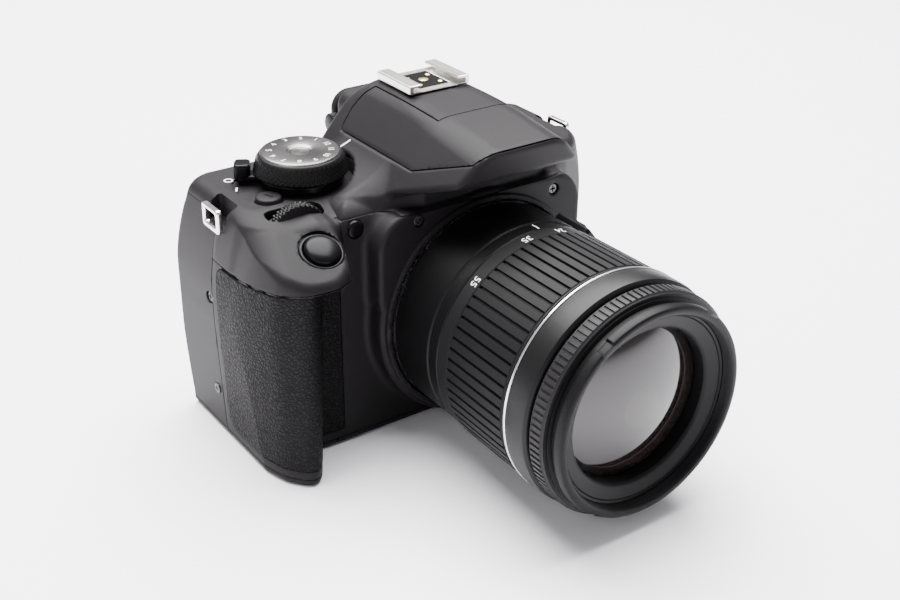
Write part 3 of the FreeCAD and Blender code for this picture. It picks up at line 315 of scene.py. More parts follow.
LENS_CENTRE = (LENS_X * MM, LENS_Z * MM)
GLASS_REACH = 0.023
DIAL_CENTRE = (DIAL_X * MM, DIAL_Y * MM, 0.0)
MATERIALS = {
    "body": moulded("body_plastic", (0.0072, 0.0062, 0.0070), 0.52, 4200.0, 0.5, 0.12),
    "lid": moulded("lid_plastic", (0.0074, 0.0064, 0.0071), 0.50, 4200.0, 0.45, 0.13),
    "rubber": leathery("grip_rubber", (0.0036, 0.0033, 0.0038), 0.58, 0.00115, 0.8, 0.10),
    "soft": moulded("soft_rubber", (0.004, 0.004, 0.0043), 0.7, 2500.0, 0.4, 0.12),
    "lens": moulded("lens_satin", (0.0026, 0.0024, 0.0027), 0.42, 5200.0, 0.3, 0.11),
    "band": moulded("band_satin", (0.0042, 0.0039, 0.0042), 0.38, 6000.0, 0.2, 0.16),
    "ribs": moulded("rib_rubber", (0.0046, 0.0042, 0.0046), 0.55, 3000.0, 0.4, 0.13),
    "focus": moulded("focus_ribs", (0.0110, 0.0103, 0.0110), 0.45, 4000.0, 0.3, 0.16),
    "dark": moulded("flat_black", (0.0012, 0.0012, 0.0013), 0.65, 3000.0, 0.3, 0.06),
    "name": moulded("name_ring", (0.0030, 0.0028, 0.0032), 0.42, 5200.0, 0.2, 0.12),
    "gloss": polished("gloss_black", (0.003, 0.003, 0.0035), 0.25, 0.0, 0.08),
    "screen": polished("screen_glass", (0.004, 0.004, 0.005), 0.08, 0.0, 0.3),
    "paint": moulded("white_marks", (0.72, 0.72, 0.71), 0.5, 3000.0, 0.1),
    "silver": worked_metal("silver_ring", (0.80, 0.79, 0.78), 0.22, (300.0, 6000.0, 300.0)),
    "steel": worked_metal("shoe_steel", (0.82, 0.80, 0.77), 0.26, (9000.0, 200.0, 9000.0)),
    "chrome": worked_metal("lug_chrome", (0.85, 0.82, 0.80), 0.12, (800.0, 800.0, 800.0)),
    "screw": worked_metal("screw_black", (0.09, 0.09, 0.09), 0.40, (2500.0, 2500.0, 2500.0)),
    # the dial cap's colour carries painted highlight fans
    "dial": spun_metal("dial_silver", (0.15, 0.145, 0.142), 0.30, DIAL_CENTRE),
    "gold": worked_metal("contact_gold", (0.85, 0.62, 0.28), 0.25, (2000.0, 2000.0, 2000.0)),
    "glass": glass_with_painted_light("front_glass", (0.0085, 0.0056, 0.0050), (0.019, 0.0155, 0.0135), LENS_CENTRE,
                          GLASS_REACH),
    "inner_glass": polished("inner_glass", (0.009, 0.0055, 0.005), 0.25, 0.0, 0.12),
    # pale colour for the innermost disc: a painted reflection of the light seen at the lens's centre
    "centre_glass_painted_reflection": polished("centre_glass_painted_reflection", (0.075, 0.066, 0.058), 0.35, 0.0, 0.3),
    "mirror": worked_metal("mirror_silver", (0.88, 0.88, 0.90), 0.04, (50.0, 50.0, 50.0)),
    "board": polished("board_green", (0.02, 0.14, 0.06), 0.35, 0.3),
    "battery": moulded("battery_case", (0.05, 0.05, 0.055), 0.5, 2000.0, 0.3),
    "card": moulded("card_case", (0.03, 0.05, 0.18), 0.45, 2000.0, 0.3),
    "lamp": polished("lamp_lens", (0.78, 0.78, 0.75), 0.18, 0.5),
}


# ------------------------------------------------------------------ making pieces

def piece(name, mesh, material, body, slot=None, stands_for=(), sharp=32.0):
    """Links a mesh as a piece that rides on a body."""
    made = bpy.data.objects.new(name, mesh)
    bpy.context.scene.collection.objects.link(made)
    if not mesh.materials:
        mesh.materials.append(MATERIALS[material])
    mesh.shade_smooth()
    mesh.set_sharp_from_angle(angle=math.radians(sharp))
    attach(made, body)
    if stands_for:
        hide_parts(*stands_for)


def mesh_of(name, points, faces):
    """A mesh from points in millimetres."""
    mesh = bpy.data.meshes.new(name)
    places = (np.asarray(points, float) * MM).tolist()
    mesh.from_pydata(places, [], [list(face) for face in faces])
    mesh.validate()
    mesh.update()
    return mesh


# signed distances: negative inside, in millimetres

def round_and(first, second, radius):
    """Where both hold, with the edge between them rounded."""
    corner = np.hypot(np.maximum(first + radius, 0.0), np.maximum(second + radius, 0.0))
    return np.minimum(np.maximum(first, second), -radius) + corner


def round_or(first, second, radius):
    """Where either holds, with the inner corner filled to a radius."""
    corner = np.hypot(np.maximum(radius - first, 0.0), np.maximum(radius - second, 0.0))
    return np.maximum(np.minimum(first, second), radius) - corner


def less(first, second, radius):
    """The first field without the second."""
    return round_and(first, -second, radius)


def both(first, *others):
    """Where every field holds, with sharp edges."""
    for other in others:
        first = np.maximum(first, other)
    return first


def either(first, *others):
    """Where any field holds, with sharp edges."""
    for other in others:
        first = np.minimum(first, other)
    return first


def convex(across, along, corner_list, radius):
    """Inside a convex outline, its corners (listed anticlockwise) rounded to a radius."""
    inside = None
    count = len(corner_list)
    for index in range(count):
        x1, y1 = corner_list[index]
        x2, y2 = corner_list[(index + 1) % count]
        length = math.hypot(x2 - x1, y2 - y1)
        side = ((across - x1) * (y2 - y1) - (along - y1) * (x2 - x1)) / length
        inside = side if inside is None else round_and(inside, side, radius)
    return inside


def between(value, low, high):
    return np.maximum(low - value, value - high)


def brick(x, y, z, low, high, radius=0.5):
    """Box between two corners with rounded edges."""
    sides = round_and(between(x, low[0], high[0]), between(y, low[1], high[1]), radius)
    return round_and(sides, between(z, low[2], high[2]), radius)


def plane(first, second, point, direction):
    """Distance past a slanted plane, given in the two coordinates that it crosses."""
    size = math.hypot(*direction)
    return ((first - point[0]) * direction[0] + (second - point[1]) * direction[1]) / size


def disc(first, second, centre, radius):
    return np.hypot(first - centre[0], second - centre[1]) - radius


MAIN_PLAN = ((LEFT, REAR_FACE), (LEFT, -4.0), (-62.0, -14.0), (33.0, -14.0), (RIGHT, -1.5),
             (RIGHT, REAR_FACE))
GRIP_PLAN = ((LEFT, 12.0), (LEFT, -15.0), (-69.5, -27.0), (-62.6, -30.6), (-57.0, -25.5), (-52.0, -13.0),
             (-52.0, 12.0))
CAP_PLAN = ((LEFT, 12.0), (LEFT, -16.0), (-69.0, -28.5), (-60.5, -32.3), (-51.5, -30.5), (-46.6, -22.0),
            (-45.6, -6.0), (-45.6, 12.0))
CAP_EDGE = -45.6
SEAM_Z = 85.0
SEAM_HALF = 24.0
ROOF_HALF = 13.7
ROOF_Z = 96.8
ROOF_TOP = 98.6
FLANK_FRONT = -18.6
HUMP_REAR = 30.0
NOSE_TOP = (-39.6, 94.6)
CHIN = (-36.6, 85.0)
TAPER_START = -16.0
TAPER = 2.2 / 23.0
TOWER_FRONT = -20.6
TOWER_HALF = 36.8
TOWER_TOP = 73.6


def split_height(y):
    """Height of the seam between the grip's rubber and its cap, rising to the front."""
    return GRIP_SPLIT + 0.1 * np.maximum(-5.0 - y, 0.0)


def slope_height(y, z):
    """Distance above the slanting top of the grip, which starts level with the deck."""
    return plane(y, z, (SLOPE_START, DECK), (-math.sin(SLOPE), math.cos(SLOPE)))


def hump_sides(x, y, z):
    """The two slanting flanks of the hump, drawn in towards the nose."""
    half = np.abs(x - LENS_X) + TAPER * np.maximum(TAPER_START - y, 0.0)
    upper = plane(half, z, (SEAM_HALF, SEAM_Z), (ROOF_Z - SEAM_Z, SEAM_HALF - ROOF_HALF))
    lower = plane(half, z, (SEAM_HALF, SEAM_Z), (17.0, 14.0))
    return np.maximum(upper, lower)


def roof(y, z):
    """The roof: flat under the shoe, falling gently to the nose and steeply to the eyepiece."""
    forward = plane(y, z, (-6.0, ROOF_TOP), (-(ROOF_TOP - NOSE_TOP[1]), -NOSE_TOP[0] - 6.0))
    behind = plane(y, z, (22.5, ROOF_TOP), (6.5, 9.0))
    return round_and(round_and(z - ROOF_TOP, forward, 3.0), behind, 2.0)


def hump(x, y, z):
    """The viewfinder hump with the nose that overhangs the lens."""
    face = plane(y, z, NOSE_TOP, (CHIN[1] - NOSE_TOP[1], NOSE_TOP[0] - CHIN[0]))
    under = plane(y, z, CHIN, (-6.5, -19.0))
    nose = round_and(face, under, 1.4)
    receding = FLANK_FRONT + 0.5 * np.maximum(np.abs(x - LENS_X) - 20.0, 0.0) - y
    side_view = round_or(receding, nose, 1.6)
    top = round_and(hump_sides(x, y, z), roof(y, z), 4.0)
    top = round_and(round_and(top, side_view, 2.2), y - HUMP_REAR, 4.0)
    return np.maximum(top, 60.0 - z)


def grip(x, y, z):
    """The hand grip: a column with a wider cap that slopes to the shutter button."""
    narrowed = x + 0.04 * (58.0 - z) * fade(x, -72.0, -58.0)
    column = round_and(convex(narrowed, y, GRIP_PLAN, 5.0), z - 66.0, 2.0)
    cap = round_and(convex(x, y, CAP_PLAN, 4.5), slope_height(y, z), 2.6)
    cap = round_and(cap, split_height(y) - 1.0 - z, 1.2)
    return np.minimum(column, cap)


def fade(value, start, end):
    """Almost 0 up to start, 1 from end on."""
    return np.clip((value - start) / (end - start), 0.004, 1.0)


def body(x, y, z):
    """The whole moulded outside of the camera, without its seams and openings."""
    main = convex(x, y, MAIN_PLAN, 4.0)
    over_slope = np.maximum(-slope_height(y, z), x - CAP_EDGE)
    main = less(main, over_slope, 1.5)
    inner_corner = 3.5 * fade(x, -60.0, -52.0) * fade(-y, 6.0, 12.0)
    whole = round_or(main, grip(x, y, z), inner_corner)
    left_roll = plane(x, z, (LEFT, 66.0), (-1.0, 0.42))
    right_roll = plane(x, z, (RIGHT, 68.0), (1.0, 0.42))
    whole = round_and(round_and(whole, left_roll, SIDE_ROLL), right_roll, SIDE_ROLL)
    deck_edge = 3.4 + 5.5 * fade(-x, 22.0, 34.0) * fade(-y, 0.0, 8.0) * fade(x, -52.0, -46.0)
    whole = round_and(whole, z - DECK, deck_edge)
    arch = round_and(between(x, LENS_X - TOWER_HALF, LENS_X + TOWER_HALF),
                     between(z, LENS_Z, TOWER_TOP), 11.0)
    arch = np.minimum(arch, disc(x, z, LENS_AT, TOWER_HALF))
    tower = round_and(arch, between(y, TOWER_FRONT, 5.0), 1.6)
    whole = round_or(whole, tower, 2.2 * fade(-y, 8.0, 12.0))
    ring = round_and(disc(x, z, LENS_AT, 35.3), between(y, FLANGE, 5.0), 0.7)
    whole = np.minimum(whole, ring)
    fillet = 10.0 * fade(z, 72.0, 77.0) * fade(y, -17.0, -6.0) * fade(-y, -27.0, -18.0)
    whole = round_or(whole, hump(x, y, z), np.maximum(fillet, 0.8))
    housing = round_and(between(x, -17.0, 17.0), between(z, 69.0, 92.0), 5.0)
    housing = round_and(housing, between(y, 10.0, 36.3), 2.5)
    whole = round_or(whole, housing, 1.5 * fade(y, 33.0, 35.0))
    above = plane(y, z, (REAR, 54.0), (18.0, 2.6))
    below = plane(y, z, (REAR, 22.0), (18.0, -2.6))
    thumb = round_and(np.maximum(above, below), y - REAR, 3.0)
    thumb = round_and(round_and(thumb, between(x, LEFT, -57.5), 4.0), between(z, 4.0, 72.0), 2.0)
    thumb = both(round_and(thumb, left_roll, SIDE_ROLL), REAR_SPLIT - y)
    whole = round_or(whole, thumb, 4.0 * fade(x, -70.0, -60.0) * fade(y, 29.0, REAR_FACE))
    foot = plane(x, z, (LEFT, 40.0), (-1.0, -0.035))
    return round_and(both(whole, foot, LEFT - x), 0.0 - z, 1.6)


KEY_NODES = ["live_view_button", "ae_lock_button", "af_point_button", "exposure_button", "quick_button",
             "set_button", "up_button", "down_button", "left_button", "right_button", "play_button",
             "menu_button"]


def key_spot_of(node):
    """A key's place across and up the back, and its radius."""
    low, high = corners(node)
    return (low[0] + high[0]) / 2, (low[2] + high[2]) / 2, (high[0] - low[0]) / 2 - 0.7


KEY_SPOTS = [key_spot_of(node) for node in KEY_NODES]
SCREEN_LOW, SCREEN_HIGH = corners("lcd_screen")
FRONT_SCREWS = ((26.0, 68.6), (-23.0, 70.4))
SIDE_SCREWS = ((12.2, 47.0), (13.4, 15.0))
BASE_SCREWS = ((-40.0, 27.0), (42.0, 27.0), (42.0, -4.0), (-32.0, -10.0))
SCREW_SEAT = 1.9
FLAP_LOW, FLAP_HIGH = corners("terminal_cover")
DOOR_LOW, DOOR_HIGH = corners("battery_door")


def strap_pocket(x, y, z):
    left = brick(x, y, z, (LEFT - 9.0, 4.4, 69.6), (-67.2, 15.6, 90.0), 1.0)
    right = brick(x, y, z, (46.2, 4.4, 69.6), (RIGHT + 9.0, 15.6, 90.0), 1.0)
    return np.minimum(left, right)


def along_slope(x, y, z):
    """Coordinates on the grip's slanting top about the shutter button: across, up the slope, above it."""
    rise = slope_height(y, z)
    down = (y - SHUTTER[1]) * math.cos(SLOPE) + (z - SHUTTER[2]) * math.sin(SLOPE)
    return x - SHUTTER[0], down, rise


def seats(x, y, z):
    """Everything sunk into the covers: seats of controls, wells, bores and windows."""
    across, up, rise = along_slope(x, y, z)
    wheel_slot = round_and(between(x, WHEEL[0] - 9.0, WHEEL[0] + 9.0),
                           between(y, WHEEL[1] - 2.4, WHEEL[1] + 2.4), 2.0)
    track = round_and(disc(x, y, DIAL_AT, 20.2), y - DIAL_Y - 10.5, 0.5)
    track = round_and(track, DIAL_Y - 8.0 - y, 0.5)
    eyepiece = round_and(between(x, -11.5, 11.5), between(z, 71.5, 85.5), 2.0)
    holes = [
        round_and(disc(across, up, (0.0, 0.0), 6.6), -0.75 - rise, 0.3),
        both(disc(across, up, (0.0, 0.0), 5.6), -6.0 - rise),
        both(disc(x, y, FLASH_BUTTON[:2], 4.6), 76.3 - z),
        both(disc(x, y, FLASH_BUTTON[:2], 4.05), 72.0 - z),
        both(wheel_slot, 66.0 - z),
        both(disc(x, y, DIAL_AT, 15.6), DIAL_FLOOR - z),
        both(track, x - DIAL_X, DIAL_FLOOR - z),
        strap_pocket(x, y, z),
        both(disc(x, z, LENS_AT, 33.7), y - 5.0),
        both(disc(x, z, LAMP_AT, 2.7), y + 12.9),
        both(eyepiece, 24.0 - y),
        both(disc(x, z, RELEASE_AT, 5.4), y + 4.0),
        brick(x, y, z, (FLAP_LOW[0] - 0.15, FLAP_LOW[1] - 0.25, FLAP_LOW[2] - 0.25),
              (RIGHT + 5.0, FLAP_HIGH[1] + 1.5, FLAP_HIGH[2] + 0.25), 0.8),
    ]
    holes += [both(disc(x, z, screw, SCREW_SEAT), y + 19.4) for screw in FRONT_SCREWS]
    holes += [both(disc(y, z, screw, SCREW_SEAT), x - LEFT - 0.9) for screw in SIDE_SCREWS]
    return either(*holes)


def shell(x, y, z):
    """The covers' wall, with its openings."""
    outside = body(x, y, z)
    across, up, rise = along_slope(x, y, z)
    filled = either(
        round_and(outside, -(outside + WALL), 0.2),
        both(outside, strap_pocket(x, y, z) - WALL),
        both(outside, disc(x, z, LENS_AT, 36.0), y + 12.0),
        both(outside, disc(across, up, (0.0, 0.0), 8.0), -5.0 - rise),
        both(outside, 74.2 - z, x + 20.0),
    )
    return less(filled, seats(x, y, z), 0.35)


HINGE = middle("flash_hinge_pin")[1:]
HEEL_R = 9.8


def lid_region(x, y, z):
    """The flash lid: the roof, forward of the eyepiece and round the fixed panel of the shoe."""
    rising = plane(y, z, (-17.5, SEAM_Z), (-6.4, -19.0))
    corner = plane(y, z, (-36.5, 91.4), (-3.6, -2.4))
    heel = either(y - HINGE[0], disc(y, z, HINGE, HEEL_R)) + 0.0 * x
    fixed = both(np.abs(x - LENS_X) - 12.1, -14.0 - y)
    return both(SEAM_Z - z, rising, corner, heel, -fixed)


def top_region(x, y, z):
    """Top cover: above the deck seam, and the grip's cap; the flash lid is taken out in top_field."""
    cap = both(split_height(y) - z, x + 45.0, y - REAR_SPLIT)
    return either(TOP_SPLIT - z, cap)


def rubber_region(x, y, z):
    """Where the grip's rubber lies, up to a rounded edge on the side of the body."""
    panel = round_and(np.maximum(5.0 - z, z - split_height(y) + 0.7), y - 7.0, 4.0)
    return np.maximum(panel, x + 46.0)


def rear_plate(x, y, z):
    """Where the rear screen's frame and the keys' plate lie."""
    return round_and(between(x, -23.0, 49.0), between(z, 6.5, 62.5), 3.0)


# ------------------------------------------------------------------ fields to meshes

EDGE_STEPS = 3
PROBE = 0.02
PULL = 0.04
OVERHANG = 0.05


def slope_of(field, points):
    """The field's direction of steepest rise at each point."""
    rises = []
    for axis in range(3):
        step = np.zeros(3)
        step[axis] = PROBE
        ahead = field(*(points + step).T)
        behind = field(*(points - step).T)
        rises.append(ahead - behind)
    rises = np.stack(rises, axis=1)
    return rises / np.maximum(np.linalg.norm(rises, axis=1, keepdims=True), 1e-9)


def crossings(field, values, origin, cell, axis):
    """Points where the surface crosses the grid's edges along one axis, and the cells round each."""
    count = values.shape[axis]
    first = values.take(range(count - 1), axis)
    last = values.take(range(1, count), axis)
    where = np.argwhere((first < 0) != (last < 0))
    across = [other for other in range(3) if other != axis]
    limits = np.array(values.shape)
    inner = np.all([(where[:, other] > 0) & (where[:, other] < limits[other] - 1) for other in across],
                   axis=0)
    where = where[inner]
    start = origin + where * cell
    direction = np.zeros(3)
    direction[axis] = cell
    low = np.zeros(len(where))
    high = np.ones(len(where))
    at_start = first[tuple(where.T)]
    low_value = at_start.astype(float)
    high_value = last[tuple(where.T)].astype(float)
    share = low_value / (low_value - high_value)
    for _ in range(EDGE_STEPS):
        value = field(*(start + share[:, None] * direction).T)
        same = (value < 0) == (low_value < 0)
        low = np.where(same, share, low)
        low_value = np.where(same, value, low_value)
        high = np.where(same, high, share)
        high_value = np.where(same, high_value, value)
        gap = low_value - high_value
        share = low + (high - low) * low_value / np.where(np.abs(gap) < 1e-9, 1e-9, gap)
        share = np.clip(share, low, high)
    around = []
    for a, b in ((0, 0), (-1, 0), (-1, -1), (0, -1)):
        step = np.zeros(3, int)
        step[across[0]] = a
        step[across[1]] = b
        around.append(where + step)
    around = np.stack(around, axis=1)
    turned = (at_start < 0) ^ (axis == 1)
    around[~turned] = around[~turned][:, ::-1]
    return start + share[:, None] * direction, around


def surface(name, field, low, high, cell):
    """Mesh of a field's zero surface: one point in each crossed cell, put where its planes meet."""
    origin = np.array(low, float) - 1.5 * cell
    axes = [np.arange(o, h + 2.5 * cell, cell) for o, h in zip(origin, high)]
    grid = np.ix_(*[axis.astype(np.float32) for axis in axes])
    values = np.ascontiguousarray(np.broadcast_to(field(*grid), [len(axis) for axis in axes]))
    points, cells = [], []
    for axis in range(3):
        found, around = crossings(field, values, origin, cell, axis)
        points.append(found)
        cells.append(around)
    points = np.concatenate(points)
    cells = np.concatenate(cells)
    normals = slope_of(field, points)
    shape = np.array(values.shape)
    flat = (cells[..., 0] * shape[1] + cells[..., 1]) * shape[2] + cells[..., 2]
    used, index = np.unique(flat, return_inverse=True)
    index = index.reshape(flat.shape)
    owner = index.ravel()
    spread = np.repeat(np.arange(len(points)), 4)
    count = np.bincount(owner, minlength=len(used)).astype(float)

    def gather(numbers):
        return np.bincount(owner, weights=numbers[spread], minlength=len(used))

    centre = np.stack([gather(points[:, axis]) / count for axis in range(3)], axis=1)
    matrix = np.zeros((len(used), 3, 3))
    target = np.zeros((len(used), 3))
    reach = np.einsum("ij,ij->i", normals, points)
    for row in range(3):
        target[:, row] = gather(normals[:, row] * reach)
        for column in range(row, 3):
            matrix[:, row, column] = gather(normals[:, row] * normals[:, column])
            matrix[:, column, row] = matrix[:, row, column]
    target -= np.einsum("nij,nj->ni", matrix, centre)
    matrix += (PULL * count)[:, None, None] * np.eye(3)
    offset = np.linalg.solve(matrix, target[..., None])[..., 0]
    corner = np.stack(np.unravel_index(used, shape), axis=1) * cell + origin
    spots = np.clip(centre + offset, corner - OVERHANG * cell, corner + (1.0 + OVERHANG) * cell)
    return mesh_of(name, spots, index)


def moulding(name, field, low, high, material, body_name, slot, stands_for, cell):
    """A piece meshed from a field between two corners, at a cell size."""
    piece(name, surface(name, field, low, high, cell), material, body_name, slot, stands_for, 40.0)


COVER_CELL = 0.65


def front_field(x, y, z):
    field = shell(x, y, z)
    seam_top = top_region(x, y, z) - SEAM
    field = less(field, seam_top, SEAM_EDGE)
    field = round_and(field, y - REAR_SPLIT + SEAM, SEAM_EDGE)
    field = round_and(field, BASE_TOP + SEAM - z, SEAM_EDGE)
    sunk = both(rubber_region(x, y, z), -(body(x, y, z) + 1.1))
    return less(field, sunk, 0.2)


def top_field(x, y, z):
    field = round_and(shell(x, y, z), top_region(x, y, z), SEAM_EDGE)
    field = less(field, lid_region(x, y, z) - SEAM, SEAM_EDGE)
    outside = body(x, y, z)
    sweep = both(disc(y, z, HINGE, HEEL_R + 0.4), outside + 1.3, 12.4 - np.abs(x), 80.0 - z)
    field = less(field, sweep, 0.15)
    floor = both(outside + 1.0, between(z, 76.5, 78.5), between(y, -30.0, 20.0), np.abs(x) - 24.0)
    return either(field, floor)


def lid_field(x, y, z):
    outside = body(x, y, z)
    field = round_and(outside, -(outside + 2.0), 0.3)
    return round_and(field, lid_region(x, y, z) + SEAM, 0.3)


def rear_field(x, y, z):
    field = shell(x, y, z)
    field = less(field, top_region(x, y, z) - SEAM, SEAM_EDGE)
    field = round_and(field, REAR_SPLIT + SEAM - y, SEAM_EDGE)
    field = round_and(field, BASE_TOP + SEAM - z, SEAM_EDGE)
    frame_seat = np.maximum(rear_plate(x, y, z), REAR_FACE - 0.45 - y)
    glass_seat = round_and(between(x, SCREEN_LOW[0] - 0.3, SCREEN_HIGH[0] + 0.3),
                           between(z, SCREEN_LOW[2] - 0.3, SCREEN_HIGH[2] + 0.3), 2.7)
    field = less(less(field, frame_seat, 0.2), np.maximum(glass_seat, 31.2 - y), 0.2)
    for key_x, key_z, key_r in KEY_SPOTS:
        field = less(field, np.maximum(disc(x, z, (key_x, key_z), key_r + 0.3), 29.0 - y), 0.15)
    return field


def rubber_field(x, y, z):
    outside = body(x, y, z)
    field = round_and(outside - 0.15, -(outside + 0.95), 0.25)
    return round_and(field, rubber_region(x, y, z) + SEAM, 0.5)


moulding("front_shell", front_field, (LEFT, -33.0, 0.0), (RIGHT, 11.0, 78.0), "body", ROOT,
         "body_plastic", ("front_cover",), COVER_CELL)
moulding("top_shell", top_field, (LEFT, -41.0, 58.0), (RIGHT, 38.0, 100.0), "body", ROOT, "body_plastic",
         ("top_cover",), COVER_CELL)
moulding("rear_shell", rear_field, (LEFT, 9.0, 0.0), (RIGHT, 38.5, 78.0), "body", ROOT, "body_plastic",
         ("rear_cover",), COVER_CELL)
moulding("flash_lid", lid_field, (-26.0, -41.0, 84.0), (26.0, 21.0, 100.0), "lid", "flash_head",
         "body_plastic", ("flash_head",), 0.7)
moulding("grip_skin", rubber_field, (LEFT - 1.0, -32.0, 4.0), (-45.0, 8.0, 65.5), "rubber", ROOT,
         "grip_rubber", ("grip_rubber",), 0.5)


def bottom_field(x, y, z):
    field = round_and(body(x, y, z), z - BASE_TOP, 0.2)
    door = np.maximum(between(x, DOOR_LOW[0] - 0.3, DOOR_HIGH[0] + 0.4),
                      between(y, DOOR_LOW[1] - 0.3, DOOR_HIGH[1] + 0.3))
    field = less(field, door, 0.25)
    field = less(field, disc(x, y, (0.0, 0.0), 5.65) + 0.0 * z, 0.25)
    for screw_x, screw_y in BASE_SCREWS:
        field = less(field, both(disc(x, y, (screw_x, screw_y), SCREW_SEAT), z - 1.2), 0.2)
    ribs = both(between(x, 14.0, 38.0), np.abs(np.mod(y, 3.0) - 1.5) - 0.45, between(y, -8.0, 22.0), z - 0.5)
    return less(field, ribs, 0.2)


def door_field(x, y, z):
    field = round_and(body(x, y, z), z - DOOR_HIGH[2], 0.3)
    inside = np.maximum(between(x, DOOR_LOW[0], DOOR_HIGH[0]), between(y, DOOR_LOW[1], DOOR_HIGH[1]))
    field = round_and(field, inside, 0.3)
    catch = brick(x, y, z, (DOOR_LOW[0] + 2.0, 2.0, -1.0), (DOOR_LOW[0] + 5.0, 12.0, 0.7), 0.3)
    return less(field, catch, 0.2)


def flap_field(x, y, z):
    """The soft cover over the sockets, with a nail notch."""
    field = round_and(body(x, y, z) - 0.05, FLAP_LOW[0] - x, 0.2)
    inside = round_and(between(y, FLAP_LOW[1], FLAP_HIGH[1]), between(z, FLAP_LOW[2], FLAP_HIGH[2]), 1.2)
    field = round_and(field, inside, 0.3)
    nail_at = (FLAP_LOW[1] - 1.0, (FLAP_LOW[2] + FLAP_HIGH[2]) / 2)
    return less(field, both(disc(y, z, nail_at, 3.0), RIGHT - 0.7 - x), 0.3)


moulding("base_shell", bottom_field, (LEFT, -31.0, 0.0), (RIGHT, REAR + 3, BASE_TOP), "body", ROOT,
         "body_plastic", ("bottom_cover",), 0.6)
moulding("battery_lid", door_field, DOOR_LOW, DOOR_HIGH, "body", "battery_door", "body_plastic",
         ("battery_door",), 0.5)
moulding("socket_flap", flap_field, (RIGHT - 2.0, 0.5, 21.0), (RIGHT + 1.0, 24.0, 61.0), "soft",
         "terminal_cover", "grip_rubber", ("terminal_cover",), 0.5)


# ------------------------------------------------------------------ turned pieces

def ring_mesh(name, outline, turns, spot, ripple=None):
    """Revolves an outline of (radius, along); ripple changes a radius from its turn and place."""
    count = len(outline)
    points = []
    for turn in turns:
        for radius, along in outline:
            shift = ripple(turn, radius, along) if ripple else 0.0
            points.append(spot(radius + shift, along, turn))
    faces = []
    steps = len(turns)
    for i in range(steps):
        following = (i + 1) % steps
        for j in range(count):
            k = (j + 1) % count
            quad = [i * count + j, following * count + j, following * count + k, i * count + k]
            faces.append(quad)
    mesh = mesh_of(name, points, faces)
    tidy(mesh)
    return mesh


def tidy(mesh):
    """Joins doubled points, drops empty faces and turns every face outwards."""
    work = bmesh.new()
    work.from_mesh(mesh)
    bmesh.ops.remove_doubles(work, verts=work.verts, dist=0.004 * MM)
    bmesh.ops.dissolve_degenerate(work, edges=work.edges, dist=0.001 * MM)
    bmesh.ops.recalc_face_normals(work, faces=work.faces)
    work.to_mesh(mesh)
    work.free()


def even_turns(count):
    return [index / count * math.tau for index in range(count)]


def rib_turns(ribs, stops):
    """Turns for ribs, each with the same stops within its pitch."""
    return [(rib + stop) / ribs * math.tau for rib in range(ribs) for stop in stops]


def ring_piece(name, outline, turns, spot, material, body_name, slot, stands_for=(), sharp=50.0, ripple=None):
    """A turned piece: its outline revolved, linked and put on its body."""
    mesh = ring_mesh(name, outline, turns, spot, ripple)
    piece(name, mesh, material, body_name, slot, stands_for, sharp)


def lengthwise(centre_x, centre_z, start=0.0):
    """Spots about an axis along Y, counted from a start."""
    def spot(radius, along, turn):
        return (centre_x + radius * math.sin(turn), start + along, centre_z + radius * math.cos(turn))
    return spot


on_lens = lengthwise(*LENS_AT)


def upright(centre_x, centre_y):
    """Spots about an axis along Z."""
    def spot(radius, along, turn):
        return (centre_x + radius * math.cos(turn), centre_y + radius * math.sin(turn), along)
    return spot


def lens_piece(name, outline, material, body_name, stands_for=(), turns=None, ripple=None, sharp=32.0,
               slot="lens_plastic"):
    """A turned piece on the lens axis."""
    ring_piece(name, outline, turns or even_turns(192), on_lens, material, body_name, slot, stands_for, sharp,
               ripple)


def groove_ripple(ribs, stops, depth, zone):
    """Grooves between ribs: the second and third stop of each pitch are cut in, within a zone."""
    floor = {round(stop, 4) for stop in stops[1:3]}

    def ripple(turn, radius, along):
        within = turn / math.tau * ribs % 1.0
        cut = any(abs(within - stop) < 1e-3 for stop in floor)
        inside = zone[0] <= along <= zone[1] and radius > zone[2]
        return -depth if cut and inside else 0.0
    return ripple


ZOOM_LOW, ZOOM_HIGH = corners("zoom_ring")
ZOOM_REAR, ZOOM_FRONT = ZOOM_HIGH[1], ZOOM_LOW[1]
ZOOM_R = (ZOOM_HIGH[0] - ZOOM_LOW[0]) / 2
BAND_LOW, BAND_HIGH = corners("lens_front_band")
BAND_R = (BAND_HIGH[0] - BAND_LOW[0]) / 2
FOCUS_LOW, FOCUS_HIGH = corners("focus_ring")
FOCUS_R = (FOCUS_HIGH[0] - FOCUS_LOW[0]) / 2
BARREL_R = 33.1
RIM_R = 31.4
FILTER_R = 28.5
NAME_R = 23.1
RIM_FRONT = FOCUS_LOW[1]
FOCUS_REAR = FOCUS_HIGH[1]
FOCUS_STEP = FOCUS_REAR - 5.4

barrel_front = ZOOM_REAR + 0.4
lens_piece("rear_barrel", [
    (31.2, FLANGE - 0.4), (32.7, FLANGE - 0.4), (BARREL_R, FLANGE - 0.9), (BARREL_R, -39.0), (32.7, -39.5),
    (32.7, -40.6), (33.0, -41.0), (33.0, barrel_front + 0.4), (32.7, barrel_front), (30.6, barrel_front),
    (30.6, -26.5), (31.2, -26.0),
], "lens", ROOT, ("lens_rear_barrel",))

